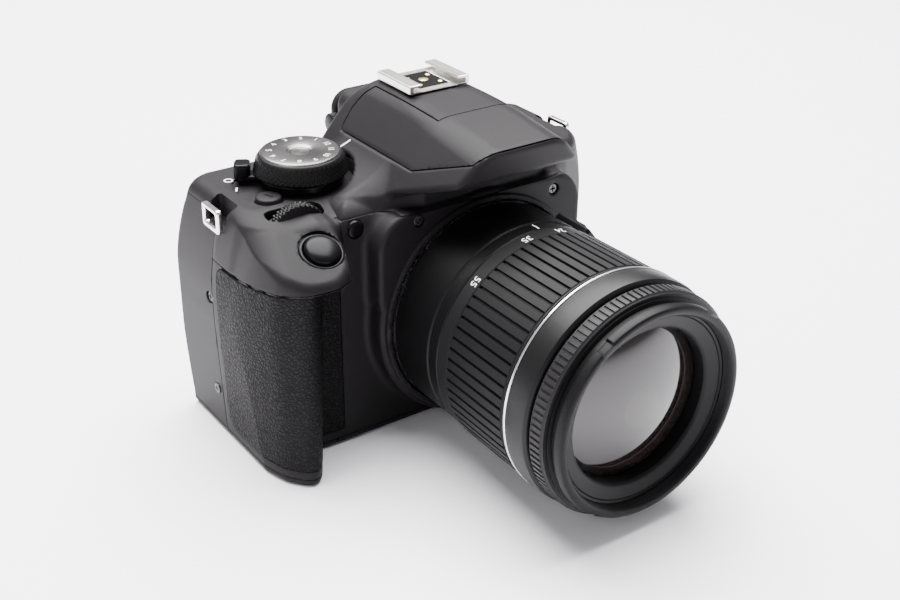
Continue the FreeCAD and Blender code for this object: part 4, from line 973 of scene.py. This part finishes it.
ZOOM_RIBS = 66
ZOOM_STOPS = (0.0, 0.04, 0.26, 0.30, 0.65)
rib_rear = ZOOM_REAR - 5.6
rib_front = ZOOM_FRONT + 1.6
zoom_outline = [
    (30.9, ZOOM_REAR), (33.0, ZOOM_REAR), (33.35, ZOOM_REAR - 0.35), (33.4, rib_rear + 0.9),
    (33.2, rib_rear + 0.7), (33.2, rib_rear + 0.45), (33.65, rib_rear + 0.2), (33.7, rib_rear),
    (33.72, rib_rear - 0.2), (33.85, -62.0), (ZOOM_R, rib_front + 0.2), (ZOOM_R, rib_front),
    (ZOOM_R, rib_front - 0.2),
    (33.75, rib_front - 0.45), (33.75, rib_front - 0.7), (ZOOM_R, rib_front - 0.95),
    (ZOOM_R, ZOOM_FRONT + 0.3),
    (ZOOM_R - 0.3, ZOOM_FRONT), (30.9, ZOOM_FRONT),
]
lens_piece("zoom_grip", zoom_outline, "ribs", "zoom_ring", ("zoom_ring",), rib_turns(ZOOM_RIBS, ZOOM_STOPS),
           groove_ripple(ZOOM_RIBS, ZOOM_STOPS, 0.85, (rib_front - 0.05, rib_rear + 0.05, 33.0)), 25.0)

band_rear, band_front = -76.8, BAND_LOW[1]
lens_piece("silver_line", [
    (33.0, band_rear + 0.05), (34.2, band_rear + 0.05), (34.32, band_rear - 0.1), (34.32, band_rear - 0.5),
    (34.2, band_rear - 0.65), (33.0, band_rear - 0.65),
], "silver", ROOT, slot="chrome")
lens_piece("front_band", [
    (30.6, band_rear - 0.7), (33.9, band_rear - 0.7), (34.15, band_rear - 0.9), (BAND_R, -78.6),
    (BAND_R, -83.6),
    (34.0, -84.8), (33.4, -85.4), (32.6, band_front), (29.3, band_front), (29.3, -60.0), (30.6, -60.0),
], "band", ROOT, ("lens_front_band",))
lens_piece("band_shadow", [
    (29.5, -85.4), (32.3, -85.4), (32.3, -86.3), (29.5, -86.3),
], "dark", ROOT)

FOCUS_RIBS = 108
FOCUS_STOPS = (0.0, 0.06, 0.42, 0.48, 0.74)
focus_outline = [
    (29.4, FOCUS_REAR), (32.7, FOCUS_REAR), (33.0, FOCUS_REAR - 0.25), (33.0, FOCUS_REAR - 0.5),
    (33.35, FOCUS_REAR - 0.7), (FOCUS_R, FOCUS_REAR - 0.9), (FOCUS_R, FOCUS_STEP + 0.9),
    (33.3, FOCUS_STEP + 0.6),
    (32.9, FOCUS_STEP + 0.4), (32.6, FOCUS_STEP), (29.4, FOCUS_STEP),
]
lens_piece("focus_grip", focus_outline, "focus", "focus_ring", ("focus_ring",),
           rib_turns(FOCUS_RIBS, FOCUS_STOPS),
           groove_ripple(FOCUS_RIBS, FOCUS_STOPS, 0.45, (FOCUS_STEP + 0.7, FOCUS_REAR - 0.6, 33.2)), 25.0)

NOTCHES = (-34.0, 37.5)
NOTCH_HALF = 4.0


def notch_ripple(turn, radius, along):
    """The hood's bayonet lip stands proud between its notches."""
    degrees = (math.degrees(turn) + 180.0) % 360.0 - 180.0
    nearest = min(abs(degrees - spot) for spot in (*NOTCHES, NOTCHES[0] + 180.0, NOTCHES[1] - 180.0))
    return -0.9 if nearest < NOTCH_HALF and radius > RIM_R - 0.8 and along < FOCUS_STEP - 2.6 else 0.0


thread_outline = []
thread_top = RIM_FRONT + 0.5
for ridge in range(4):
    start = thread_top + ridge * 0.72
    thread_outline += [(FILTER_R + 0.25, start), (FILTER_R - 0.05, start + 0.36)]
rim_outline = [
    (29.2, FOCUS_STEP), (31.6, FOCUS_STEP), (31.6, FOCUS_STEP - 0.5), (30.5, FOCUS_STEP - 0.9),
    (30.5, FOCUS_STEP - 2.2), (RIM_R - 0.2, FOCUS_STEP - 2.7), (RIM_R, FOCUS_STEP - 3.0),
    (RIM_R, RIM_FRONT + 1.0),
    (RIM_R - 0.3, RIM_FRONT + 0.35), (RIM_R - 0.9, RIM_FRONT), (29.6, RIM_FRONT), (29.0, RIM_FRONT + 0.2),
    *thread_outline, (FILTER_R, RIM_FRONT + 3.4), (28.3, FOCUS_STEP + 0.2), (29.2, FOCUS_STEP + 0.2),
]
lens_piece("filter_rim", rim_outline, "lens", "focus_ring", turns=even_turns(360), ripple=notch_ripple)
lens_piece("name_ring", [
    (28.25, RIM_FRONT + 3.2), (27.6, RIM_FRONT + 3.5), (27.2, RIM_FRONT + 3.4), (24.2, RIM_FRONT + 4.4),
    (23.7, RIM_FRONT + 4.6), (NAME_R + 0.1, RIM_FRONT + 5.2), (NAME_R, RIM_FRONT + 6.4),
    (NAME_R, RIM_FRONT + 9.0),
    (28.25, RIM_FRONT + 9.0),
], "name", "focus_ring")


def dome(name, apex, rim_radius, curve, depth, material, body_name, stands_for=(), slot="optical_glass"):
    """A lens element: a spherical front on a straight edge."""
    rows = 14
    outline = []
    for row in range(rows + 1):
        radius = max(0.001, rim_radius * row / rows)
        outline.append((radius, apex + curve - math.sqrt(curve * curve - radius * radius)))
    outline += [(rim_radius, apex + depth), (0.001, apex + depth)]
    ring_piece(name, outline, even_turns(96), on_lens, material, body_name, slot, stands_for, 40.0)


GLASS_APEX = corners("front_element")[0][1]
dome("front_glass", GLASS_APEX + 0.6, NAME_R - 0.15, 62.0, 6.4, "glass", "focus_ring", ("front_element",))
dome("second_glass", GLASS_APEX + 9.0, 20.0, 34.0, 8.0, "inner_glass", "inner_barrel")
# the third glass is a pale disc whose colour is a painted reflection of the light at the lens's centre
dome("third_glass", GLASS_APEX + 8.4, 8.6, 20.0, 2.6, "centre_glass_painted_reflection", "inner_barrel")
for index in range(4):
    depth = GLASS_APEX + 7.6 + index * 1.5
    outer = 25.6
    inner = 22.2 - index * 0.75
    lens_piece(f"baffle_{index}", [
        (outer, depth), (inner, depth), (inner, depth + 0.5), (outer, depth + 1.4),
    ], "dark", "inner_barrel", slot="inner_black")


# ------------------------------------------------------------------ marks and numbers

def text_outline(words, size):
    """Flat mesh points and faces of a few figures, centred, in millimetres."""
    curve = bpy.data.curves.new("figures", "FONT")
    curve.body = words
    curve.size = size
    curve.align_x = "CENTER"
    curve.align_y = "CENTER"
    curve.resolution_u = 4
    holder = bpy.data.objects.new("figures", curve)
    flat = bpy.data.meshes.new_from_object(holder)
    points = [tuple(vertex.co) for vertex in flat.vertices]
    faces = [list(face.vertices) for face in flat.polygons]
    bpy.data.objects.remove(holder)
    bpy.data.meshes.remove(flat)
    bpy.data.curves.remove(curve)
    return points, faces


def printed(name, shape, spot, body_name, thick=0.05, slot="body_plastic", material="paint"):
    """Print raised by a hair: a flat shape laid on a surface, with a skirt round its edge."""
    points, faces = shape
    count = len(points)
    solid = [spot(u, v, thick) for u, v, _ in points] + [spot(u, v, -0.15) for u, v, _ in points]
    edges = {}
    for face in faces:
        for a, b in zip(face, face[1:] + face[:1]):
            edges[(a, b)] = True
    made = [list(face) for face in faces]
    made += [[count + corner for corner in reversed(face)] for face in faces]
    for a, b in edges:
        if (b, a) not in edges:
            made.append([b, a, count + a, count + b])
    mesh = mesh_of(name, solid, made)
    tidy(mesh)
    piece(name, mesh, material, body_name, slot)


def strip(length, width, steps=6):
    """A flat bar along u, cut into a few lengths so that it can follow a curve."""
    points = []
    for step in range(steps + 1):
        u = (step / steps - 0.5) * length
        points += [(u, -width / 2, 0.0), (u, width / 2, 0.0)]
    faces = [[2 * i, 2 * i + 2, 2 * i + 3, 2 * i + 1] for i in range(steps)]
    return points, faces


def loop(radius, width, count=40):
    """A flat ring."""
    points, faces = [], []
    for index in range(count):
        turn = index / count * math.tau
        for r in (radius - width / 2, radius + width / 2):
            points.append((r * math.cos(turn), r * math.sin(turn), 0.0))
        following = (index + 1) % count
        faces.append([2 * index, 2 * index + 1, 2 * following + 1, 2 * following])
    return points, faces


def round_lens(degrees, along, radius):
    """Lays print on the lens barrel, read from behind the camera."""
    def spot(u, v, lift):
        turn = math.radians(degrees) - u / radius
        return on_lens(radius + lift, along - v, turn)
    return spot


for words, degrees in (("24", 12.0), ("35", -8.5), ("55", -42.0), ("18", 40.0)):
    printed(f"zoom_mark_{words}", text_outline(words, 3.3), round_lens(degrees, ZOOM_REAR - 2.7, 33.37),
            "zoom_ring", slot="lens_plastic")
printed("zoom_index", strip(0.45, 3.0, 1), round_lens(4.0, -41.9, 33.0), ROOT, slot="lens_plastic")


def find_top(x, y):
    """Height of the covers above a point, by halving."""
    low, high = 60.0, 101.0
    for _ in range(30):
        half = (low + high) / 2
        if float(body(np.float64(x), np.float64(y), np.float64(half))) < 0:
            low = half
        else:
            high = half
    return high


def on_deck(centre_x, centre_y, degrees=0.0):
    turn = math.radians(degrees)

    def spot(u, v, lift):
        x = centre_x + u * math.cos(turn) - v * math.sin(turn)
        y = centre_y + u * math.sin(turn) + v * math.cos(turn)
        return (x, y, find_top(x, y) + lift)
    return spot


printed("dial_index", strip(3.0, 0.6), on_deck(-26.2, 14.6, -28.0), ROOT)
printed("power_mark_on", strip(2.6, 0.5), on_deck(-62.5, 15.0, 60.0), ROOT)
printed("power_mark_off", loop(1.15, 0.45), on_deck(-61.5, 22.2), ROOT)


# ------------------------------------------------------------------ controls on the top

DIAL_TOP = corners("mode_dial")[1][2]
DIAL_LOW_Z = 79.8
KNURLS = 54


def knurl_ripple(turn, radius, along):
    """Diamond knurling from two crossing sets of grooves."""
    if radius < 12.9 or not DIAL_LOW_Z + 0.5 < along < DIAL_TOP - 1.3:
        return 0.0
    lean = along * 2.3
    first = abs(math.sin(KNURLS / 2 * turn + lean))
    second = abs(math.sin(KNURLS / 2 * turn - lean))
    return 0.42 * (min(first, second) - 0.5)


flank = [(13.9 - 0.1 * row, DIAL_LOW_Z + 0.6 + row * 0.37) for row in range(12)]
dial_outline = [(2.9, DIAL_LOW_Z), (12.6, DIAL_LOW_Z), (13.7, DIAL_LOW_Z + 0.3), *flank,
                (12.3, DIAL_TOP - 1.0), (11.9, DIAL_TOP - 0.6), (11.3, DIAL_TOP - 0.55),
                (2.9, DIAL_TOP - 0.55)]
ring_piece("dial_flank", dial_outline, even_turns(432), upright(*DIAL_AT), "lens", "mode_dial",
           "dial_plastic", ("mode_dial",), ripple=knurl_ripple)
cap_outline = [(0.001, DIAL_TOP - 0.75), (2.2, DIAL_TOP - 0.7), (3.5, DIAL_TOP - 0.5),
               (3.95, DIAL_TOP - 0.12),
               (4.25, DIAL_TOP), (8.0, DIAL_TOP), (11.1, DIAL_TOP), (11.5, DIAL_TOP - 0.15),
               (11.75, DIAL_TOP - 0.6), (0.001, DIAL_TOP - 0.9)]
ring_piece("dial_cap", cap_outline, even_turns(144), upright(*DIAL_AT), "dial", "mode_dial", "dial_plastic")


def on_dial(degrees, reach):
    """Lays print round the dial's cap, its top outwards."""
    turn = math.radians(degrees)

    def spot(u, v, lift):
        across = reach + v
        x = DIAL_X + across * math.cos(turn) + u * math.sin(turn)
        y = DIAL_Y + across * math.sin(turn) - u * math.cos(turn)
        return (x, y, DIAL_TOP + lift)
    return spot


DIAL_MARKS = 12
for index in range(DIAL_MARKS):
    printed(f"dial_mark_{index + 1}", text_outline(str(index + 1), 2.5),
            on_dial(30.0 + 360.0 / DIAL_MARKS * index, 8.9), "mode_dial", 0.04, "dial_plastic")

LEVER_ANGLE = math.radians(150.0)
LEVER_LOW, LEVER_HIGH = 77.15, 79.4


def lever_field(x, y, z):
    """The power lever: a flat ring under the dial with a ribbed thumb piece."""
    across = (x - DIAL_X) * math.cos(LEVER_ANGLE) + (y - DIAL_Y) * math.sin(LEVER_ANGLE)
    along = -(x - DIAL_X) * math.sin(LEVER_ANGLE) + (y - DIAL_Y) * math.cos(LEVER_ANGLE)
    ring = round_and(disc(x, y, DIAL_AT, 12.4), between(z, LEVER_LOW, LEVER_HIGH), 0.4)
    ring = both(ring, -disc(x, y, DIAL_AT, 3.3))
    arm = brick(across, along, z, (9.0, -3.0, LEVER_LOW), (18.6, 3.0, LEVER_HIGH), 0.8)
    knob = round_and(round_and(between(across, 14.6, 19.4), between(along, -3.0, 3.0), 1.4),
                     between(z, 77.6, 82.8), 0.9)
    ribs = np.maximum(np.abs(np.mod(along, 1.2) - 0.6) - 0.22, 18.9 - across)
    knob = less(knob, np.maximum(ribs, np.abs(along) - 2.2), 0.1)
    return np.minimum(round_or(ring, arm, 0.6), knob)


moulding("power_thumb", lever_field, (DIAL_X - 20, DIAL_Y - 13, 77.0), (DIAL_X + 13, DIAL_Y + 13, 83.0),
         "gloss", "power_lever", "lens_plastic", ("power_lever",), 0.4)


def tilted(radius, along, turn):
    """A spot about the shutter button's axis, along it upwards."""
    across = radius * math.cos(turn)
    up = radius * math.sin(turn)
    return (SHUTTER_AT[0] + across, SHUTTER_AT[1] + up * math.cos(SLOPE) - along * math.sin(SLOPE),
            SHUTTER_AT[2] + up * math.sin(SLOPE) + along * math.cos(SLOPE))


SHUTTER_AT = (SHUTTER[0], -20.5, DECK - (SLOPE_START + 20.5) * math.tan(SLOPE))
button = [(0.001, 2.05), (1.6, 2.0), (3.2, 1.8), (4.3, 1.45), (4.8, 1.1), (5.05, 0.6), (5.1, 0.1),
          (5.1, -2.4),
          (5.9, -2.6), (5.9, -3.3), (0.001, -3.3)]
ring_piece("release_dome", button, even_turns(96), tilted, "gloss", "shutter_button", "gloss_black",
           ("shutter_button",))
collar = [(5.35, -0.6), (5.5, -0.15), (5.75, -0.05), (6.25, -0.15), (6.5, -0.6), (6.5, -1.1), (5.35, -1.1)]
ring_piece("release_collar", collar, even_turns(96), tilted, "gloss", ROOT, "gloss_black", sharp=60.0)

flash_top = corners("flash_button")[1][2]
outline = [(0.001, flash_top), (3.0, flash_top), (3.5, flash_top - 0.15), (3.75, flash_top - 0.5),
           (3.8, flash_top - 4.0), (4.6, flash_top - 4.1), (4.6, flash_top - 4.9), (0.001, flash_top - 4.9)]
ring_piece("flash_key", outline, even_turns(72), upright(*FLASH_BUTTON[:2]), "body", "flash_button",
           "body_plastic", ("flash_button",))
BOLT = [(-0.5, 1.7), (0.5, 0.4), (0.05, 0.3), (0.75, -0.9), (1.05, -0.6), (0.95, -1.8), (-0.1, -1.4),
        (0.3, -1.2),
        (-0.45, -0.1), (-0.1, 0.05), (-0.9, 1.4)]


def on_flash_key(u, v, lift):
    return (FLASH_BUTTON[0] + u * 0.9, FLASH_BUTTON[1] + v * 0.9, flash_top + lift)


bolt_shape = ([(u, v, 0.0) for u, v in BOLT], [list(range(len(BOLT)))])
printed("flash_bolt", bolt_shape, on_flash_key, "flash_button", 0.06, material="dark")

WHEEL_R = 9.4
WHEEL_HALF = 1.9
WHEEL_TURNS = 19
WHEEL_Y = corners("main_dial")[0][1] + WHEEL_HALF


def wheel_ripple(turn, radius, along):
    """Diamond knurling on the wheel's tread."""
    if radius < WHEEL_R - 0.2:
        return 0.0
    lean = along * 2.1
    first = abs(math.sin(WHEEL_TURNS * turn + lean))
    second = abs(math.sin(WHEEL_TURNS * turn - lean))
    return 0.5 * (min(first, second) - 0.6)


tread = [(WHEEL_R, -1.6 + row * 0.32) for row in range(11)]
wheel_outline = [(1.2, -WHEEL_HALF), (8.6, -WHEEL_HALF), *tread, (8.6, WHEEL_HALF), (1.2, WHEEL_HALF)]
ring_piece("thumb_wheel", wheel_outline, even_turns(380), lengthwise(WHEEL[0], WHEEL[2], WHEEL_Y), "lens",
           "main_dial", "dial_plastic", ("main_dial",), ripple=wheel_ripple)


def lamp_spot(radius, along, turn):
    return (LAMP_AT[0] + radius * math.cos(turn), along, LAMP_AT[1] + radius * math.sin(turn))


lamp_outline = [(0.001, -14.2), (1.6, -14.15), (2.3, -13.9), (2.6, -13.5), (2.6, -12.6), (0.001, -12.6)]
ring_piece("lamp_window", lamp_outline, even_turns(60), lamp_spot, "gloss", ROOT, "gloss_black")


# ------------------------------------------------------------------ metal fittings

SHOE_LOW, SHOE_HIGH = corners("hot_shoe")


def shoe_field(x, y, z):
    """The accessory shoe: a bent steel channel with lips, open at the rear."""
    outside = round_and(between(x, SHOE_LOW[0], SHOE_HIGH[0]), between(z, SHOE_LOW[2], SHOE_HIGH[2]), 0.5)
    outside = round_and(outside, between(y, SHOE_LOW[1], SHOE_HIGH[1]), 0.25)
    channel = round_and(np.abs(x) - 9.35, between(z, SHOE_LOW[2] + 0.55, SHOE_HIGH[2] - 0.7), 0.3)
    mouth = np.maximum(np.abs(x) - 6.5, SHOE_LOW[2] + 0.55 - z)
    field = less(less(outside, channel, 0.1), mouth, 0.25)
    well = np.maximum(np.abs(x) - 5.4, np.abs(y - 12.0) - 6.5)
    return less(field, well + 0.0 * z, 0.2)


moulding("shoe_rails", shoe_field, SHOE_LOW, SHOE_HIGH, "steel", ROOT, "steel", ("hot_shoe",), 0.22)
CONTACT_Z = SHOE_LOW[2] + 0.5


BASE_BOX = ((-5.3, 5.6, SHOE_LOW[2] - 0.5), (5.3, 18.4, CONTACT_Z))


def shoe_base_field(x, y, z):
    return brick(x, y, z, *BASE_BOX, 0.3)


moulding("shoe_base", shoe_base_field, *BASE_BOX, "dark", ROOT, "inner_black", (), 0.3)
CONTACTS = ((0.0, 12.0, 1.5), (-3.6, 8.2, 0.75), (3.6, 8.2, 0.75), (-3.6, 15.2, 0.75), (3.6, 15.2, 0.75))
for index, (contact_x, contact_y, contact_r) in enumerate(CONTACTS):
    outline = [(0.001, CONTACT_Z + 0.3), (contact_r * 0.6, CONTACT_Z + 0.27), (contact_r, CONTACT_Z + 0.1),
               (contact_r, CONTACT_Z - 0.3), (0.001, CONTACT_Z - 0.3)]
    ring_piece(f"shoe_contact_{index}", outline, even_turns(40), upright(contact_x, contact_y), "gold", ROOT,
               "brass")

LUG_LOW, LUG_HIGH = corners("strap_lugs")
LUG_THICK = 1.8


def lug_field(start):
    """A flat loop of plated steel standing in its pocket."""
    def field(x, y, z):
        outside = round_and(between(y, LUG_LOW[1], LUG_HIGH[1]), between(z, LUG_LOW[2], LUG_HIGH[2]), 1.2)
        slot = round_and(between(y, LUG_LOW[1] + 1.5, LUG_HIGH[1] - 1.5),
                         between(z, LUG_LOW[2] + 1.7, LUG_HIGH[2] - 1.4), 0.7)
        plate = round_and(outside, between(x, start, start + LUG_THICK), 0.6)
        return less(plate, slot + 0.0 * x, 0.5)
    return field


for side, start in (("left", LUG_LOW[0]), ("right", LUG_HIGH[0] - LUG_THICK)):
    moulding(f"strap_loop_{side}", lug_field(start), (start, LUG_LOW[1], LUG_LOW[2]),
             (start + LUG_THICK, LUG_HIGH[1], LUG_HIGH[2]), "chrome", ROOT, "chrome",
             ("strap_lugs",) if side == "left" else (), 0.25)


def screw_field(x, y, z):
    """A countersunk head with a cross, its face at z 0."""
    head = round_and(disc(x, y, (0.0, 0.0), 1.6), between(z, -1.1, 0.0), 0.25)
    cross = either(both(np.abs(x) - 0.25, np.abs(y) - 1.0), both(np.abs(y) - 0.25, np.abs(x) - 1.0))
    return less(head, both(cross, -0.6 - z), 0.05)


def screw_heads():
    """All the screws that show, as one piece of separate solids."""
    pattern = surface("screw_pattern", screw_field, (-1.6, -1.6, -1.1), (1.6, 1.6, 0.0), 0.16)
    local = [vertex.co.copy() / MM for vertex in pattern.vertices]
    loops = [list(face.vertices) for face in pattern.polygons]
    bpy.data.meshes.remove(pattern)
    places = [((x, -20.0, z), (0, -1, 0)) for x, z in FRONT_SCREWS]
    places += [((LEFT + 0.45, y, z), (-1, 0, 0)) for y, z in SIDE_SCREWS]
    places += [((x, y, 0.35), (0, 0, -1)) for x, y in BASE_SCREWS]
    points, faces = [], []
    for place, direction in places:
        turn = Vector(direction).to_track_quat("Z", "Y")
        start = len(points)
        points += [tuple(turn @ spot + Vector(place)) for spot in local]
        faces += [[start + corner for corner in face] for face in loops]
    mesh = mesh_of("screw_heads", points, faces)
    piece("screw_heads", mesh, "screw", ROOT, "black_screw", ("screws",), 40.0)


screw_heads()


def switch_coordinates(x, z):
    """Coordinates at the focus switch: round the barrel, and out from the lens axis."""
    turn = math.radians(52.0)
    outward = (x - LENS_X) * math.sin(turn) + (z - LENS_Z) * math.cos(turn)
    around = (x - LENS_X) * math.cos(turn) - (z - LENS_Z) * math.sin(turn)
    return around, outward


def pad_field(x, y, z):
    around, outward = switch_coordinates(x, z)
    block = round_and(np.abs(around) - 6.5, between(y, -40.8, -26.0), 1.6)
    block = round_and(block, outward - BARREL_R - 1.7, 0.6)
    block = np.maximum(block, 30.0 - outward)
    slot = round_and(np.abs(around) - 4.3, between(y, -36.5, -30.5), 0.6)
    return less(block, np.maximum(slot, BARREL_R + 0.2 - outward), 0.2)


def slider_field(x, y, z):
    around, outward = switch_coordinates(x, z)
    block = round_and(round_and(between(around, -4.0, 1.0), between(y, -36.1, -30.9), 0.6),
                      between(outward, BARREL_R + 0.3, BARREL_R + 2.9), 0.4)
    ribs = np.maximum(np.abs(np.mod(around, 1.0) - 0.5) - 0.18, BARREL_R + 2.5 - outward)
    return less(block, ribs, 0.08)


PAD_BOX = ((16.0, -41.0, 46.0), (34.0, -26.0, 66.0))
moulding("switch_pad", pad_field, *PAD_BOX, "lens", ROOT, "lens_plastic", (), 0.4)
moulding("switch_slider", slider_field, (20.0, -37.0, 50.0), (34.0, -30.0, 66.0), "lens", "af_switch",
         "lens_plastic", ("af_switch",), 0.25)


# ------------------------------------------------------------------ the back

GLASS_BACK = 31.4


def screen_field(x, y, z):
    face = round_and(between(x, SCREEN_LOW[0], SCREEN_HIGH[0]),
                     between(z, SCREEN_LOW[2], SCREEN_HIGH[2]), 2.5)
    return round_and(face, between(y, GLASS_BACK, SCREEN_HIGH[1]), 0.5)


moulding("screen_glass", screen_field, (SCREEN_LOW[0], GLASS_BACK, SCREEN_LOW[2]), SCREEN_HIGH, "screen",
         ROOT, "screen_glass", ("lcd_screen",), 0.6)
EYE_LOW, EYE_HIGH = corners("eyecup")


def eyecup_field(x, y, z):
    """A soft frame whose mouth widens towards the eye."""
    middle_z = (EYE_LOW[2] + EYE_HIGH[2]) / 2
    frame = round_and(between(x, EYE_LOW[0], EYE_HIGH[0]), between(z, EYE_LOW[2], EYE_HIGH[2]), 6.0)
    frame = round_and(frame, between(y, EYE_LOW[1], EYE_HIGH[1]), 1.6)
    widen = 0.35 * np.maximum(y - EYE_LOW[1] - 1.0, 0.0)
    mouth = round_and(np.abs(x) - 10.5 - widen, np.abs(z - middle_z + 1.0) - 6.8 - widen, 2.0)
    field = less(frame, mouth, 0.8)
    groove = np.abs(round_and(np.abs(x) - 15.6, np.abs(z - middle_z) - 9.6, 5.0)) - 0.3
    return less(field, np.maximum(groove, EYE_HIGH[1] - 0.5 - y), 0.15)


moulding("eye_frame", eyecup_field, EYE_LOW, EYE_HIGH, "soft", ROOT, "eyecup_rubber", ("eyecup",), 0.45)

ARROW_TURNS = {"up_button": 90.0, "down_button": -90.0, "left_button": 0.0, "right_button": 180.0}
ARROW_R = 1.1


def arrow(turn):
    """A flat triangle that points along a turn."""
    tips = [turn + math.tau * index / 3 for index in range(3)]
    return [(ARROW_R * math.cos(tip), ARROW_R * math.sin(tip), 0.0) for tip in tips], [[0, 1, 2]]


def on_key(key_x, key_z, top):
    """Lays print on a key, read from behind the camera."""
    def spot(u, v, lift):
        return (key_x - u, top - 0.1 + lift, key_z + v)
    return spot


for node in KEY_NODES:
    low, high = corners(node)
    key_x, key_z, key_r = key_spot_of(node)
    top = high[1]
    outline = [(0.001, top - 0.15), (key_r * 0.5, top - 0.12), (key_r * 0.8, top), (key_r - 0.2, top - 0.1),
               (key_r, top - 0.4), (key_r, low[1] + 0.8), (key_r + 0.7, low[1] + 0.8), (key_r + 0.7, low[1]),
               (0.001, low[1])]
    ring_piece(node + "_cap", outline, even_turns(60), lengthwise(key_x, key_z), "body", node, "body_plastic",
               (node,))
    if node in ARROW_TURNS:
        printed(node + "_mark", arrow(math.radians(ARROW_TURNS[node])), on_key(key_x, key_z, top), node, 0.08)
    elif node != "set_button":
        printed(node + "_mark", loop(key_r * 0.36, 0.3, 24), on_key(key_x, key_z, top), node, 0.08)

dioptre_low, dioptre_high = corners("dioptre_knob")
dioptre_y = (dioptre_low[1] + dioptre_high[1]) / 2
dioptre_z = (dioptre_low[2] + dioptre_high[2]) / 2


def dioptre_spot(radius, along, turn):
    return (along, dioptre_y + radius * math.cos(turn), dioptre_z + radius * math.sin(turn))


def dioptre_ripple(turn, radius, along):
    return 0.2 * (abs(math.sin(12 * turn)) - 1.0) if radius > 3.2 else 0.0


edge = dioptre_low[0]
dioptre_outline = [(0.001, edge), (2.8, edge), (3.25, edge + 0.3), (3.4, edge + 0.6), (3.4, edge + 2.5),
                   (3.25, edge + 2.9), (1.0, edge + 3.0), (1.0, dioptre_high[0]), (0.001, dioptre_high[0])]
ring_piece("dioptre_wheel", dioptre_outline, even_turns(144), dioptre_spot, "lens", "dioptre_knob",
           "lens_plastic", ("dioptre_knob",), 40.0, dioptre_ripple)

release_front = corners("lens_release_button")[0][1]
release_outline = [
    (0.001, release_front + 0.9), (3.4, release_front + 0.7), (3.9, release_front + 0.1),
    (4.4, release_front),
    (4.85, release_front + 0.3), (5.0, release_front + 0.8), (5.0, -1.0), (0.001, -1.0),
]
ring_piece("release_cap", release_outline, even_turns(72), lengthwise(*RELEASE_AT), "body",
           "lens_release_button", "body_plastic", ("lens_release_button",))


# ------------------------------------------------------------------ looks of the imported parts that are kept

KEPT = {
    "steel": ("chassis", "tripod_socket", "lens_mount_ring", "flash_hinge_pin"),
    "dark": ("mirror_box", "shutter_frame", "first_curtain", "second_curtain", "pentamirror", "inner_barrel",
             "focus_sleeve"),
    "lens": ("lens_bayonet",),
    "mirror": ("mirror", "sub_mirror"),
    "inner_glass": ("image_sensor", "rear_lens_group"),
    "screen": ("focusing_screen", "eyepiece_lens"),
    "board": ("main_board",),
    "battery": ("battery",),
    "card": ("memory_card",),
    "lamp": ("flash_lamp",),
}
for material_name, nodes in KEPT.items():
    for node in nodes:
        kept = frame["nodes"][node]
        kept.data.materials.clear()
        kept.data.materials.append(MATERIALS[material_name])

# ------------------------------------------------------------------ camera, light and floor

EYE = Vector((-215.75, -312.0, 231.8)) * MM
YAW, PITCH, ROLL = -0.6096, 0.4909, 0.0079
FOCAL = 53.85
look = Vector((-math.sin(YAW) * math.cos(PITCH), math.cos(YAW) * math.cos(PITCH), -math.sin(PITCH)))
right = look.cross(Vector((0, 0, 1))).normalized()
above = right.cross(look)
tilted_right = math.cos(ROLL) * right + math.sin(ROLL) * above
tilted_above = -math.sin(ROLL) * right + math.cos(ROLL) * above
lens = bpy.data.cameras.new("view")
lens.lens = FOCAL
lens.sensor_width = 36.0
camera = bpy.data.objects.new("view", lens)
facing = Matrix((tilted_right, tilted_above, -look)).transposed().to_4x4()
camera.matrix_world = Matrix.Translation(EYE) @ facing
bpy.context.scene.collection.objects.link(camera)
bpy.context.scene.camera = camera

floor_mesh = bpy.data.meshes.new("floor")
FLOOR = 6.0
floor_mesh.from_pydata([(-FLOOR, -FLOOR, 0), (FLOOR, -FLOOR, 0), (FLOOR, FLOOR, 0), (-FLOOR, FLOOR, 0)], [],
                       [(0, 1, 2, 3)])
floor_material, floor_tree, floor_shader = node_material("floor_paper", (0.90, 0.885, 0.92), 0.6)
paper = texture(floor_tree, "ShaderNodeTexNoise", 3.0, Detail=2.0)
ramp(floor_tree, paper.outputs["Fac"], floor_shader.inputs["Base Color"],
     ((0.3, (0.89, 0.87, 0.915)), (0.7, (0.91, 0.895, 0.925))))
floor_mesh.materials.append(floor_material)
floor = bpy.data.objects.new("floor", floor_mesh)
floor.location = (0, 0, -0.0002)
bpy.context.scene.collection.objects.link(floor)


def soft_light(name, place, target, size, power, colour=(1.0, 1.0, 1.0)):
    data = bpy.data.lights.new(name, "AREA")
    data.shape = "RECTANGLE"
    data.size, data.size_y = size
    data.energy = power
    data.color = colour
    made = bpy.data.objects.new(name, data)
    made.location = place
    made.rotation_mode = "QUATERNION"
    made.rotation_quaternion = (Vector(target) - Vector(place)).to_track_quat("-Z", "Y")
    bpy.context.scene.collection.objects.link(made)


soft_light("overhead", (0.10, 0.30, 1.1), (0, 0, 0.0), (1.3, 1.1), 115.0)
soft_light("left_fill", (-1.0, -0.3, 0.6), (0, 0, 0.05), (0.7, 0.7), 4.0)
world = bpy.data.worlds.new("studio")
world.use_nodes = True
backdrop = world.node_tree.nodes["Background"]
backdrop.inputs["Color"].default_value = (0.97, 0.965, 1.0, 1.0)
backdrop.inputs["Strength"].default_value = 0.55
bpy.context.scene.world = world
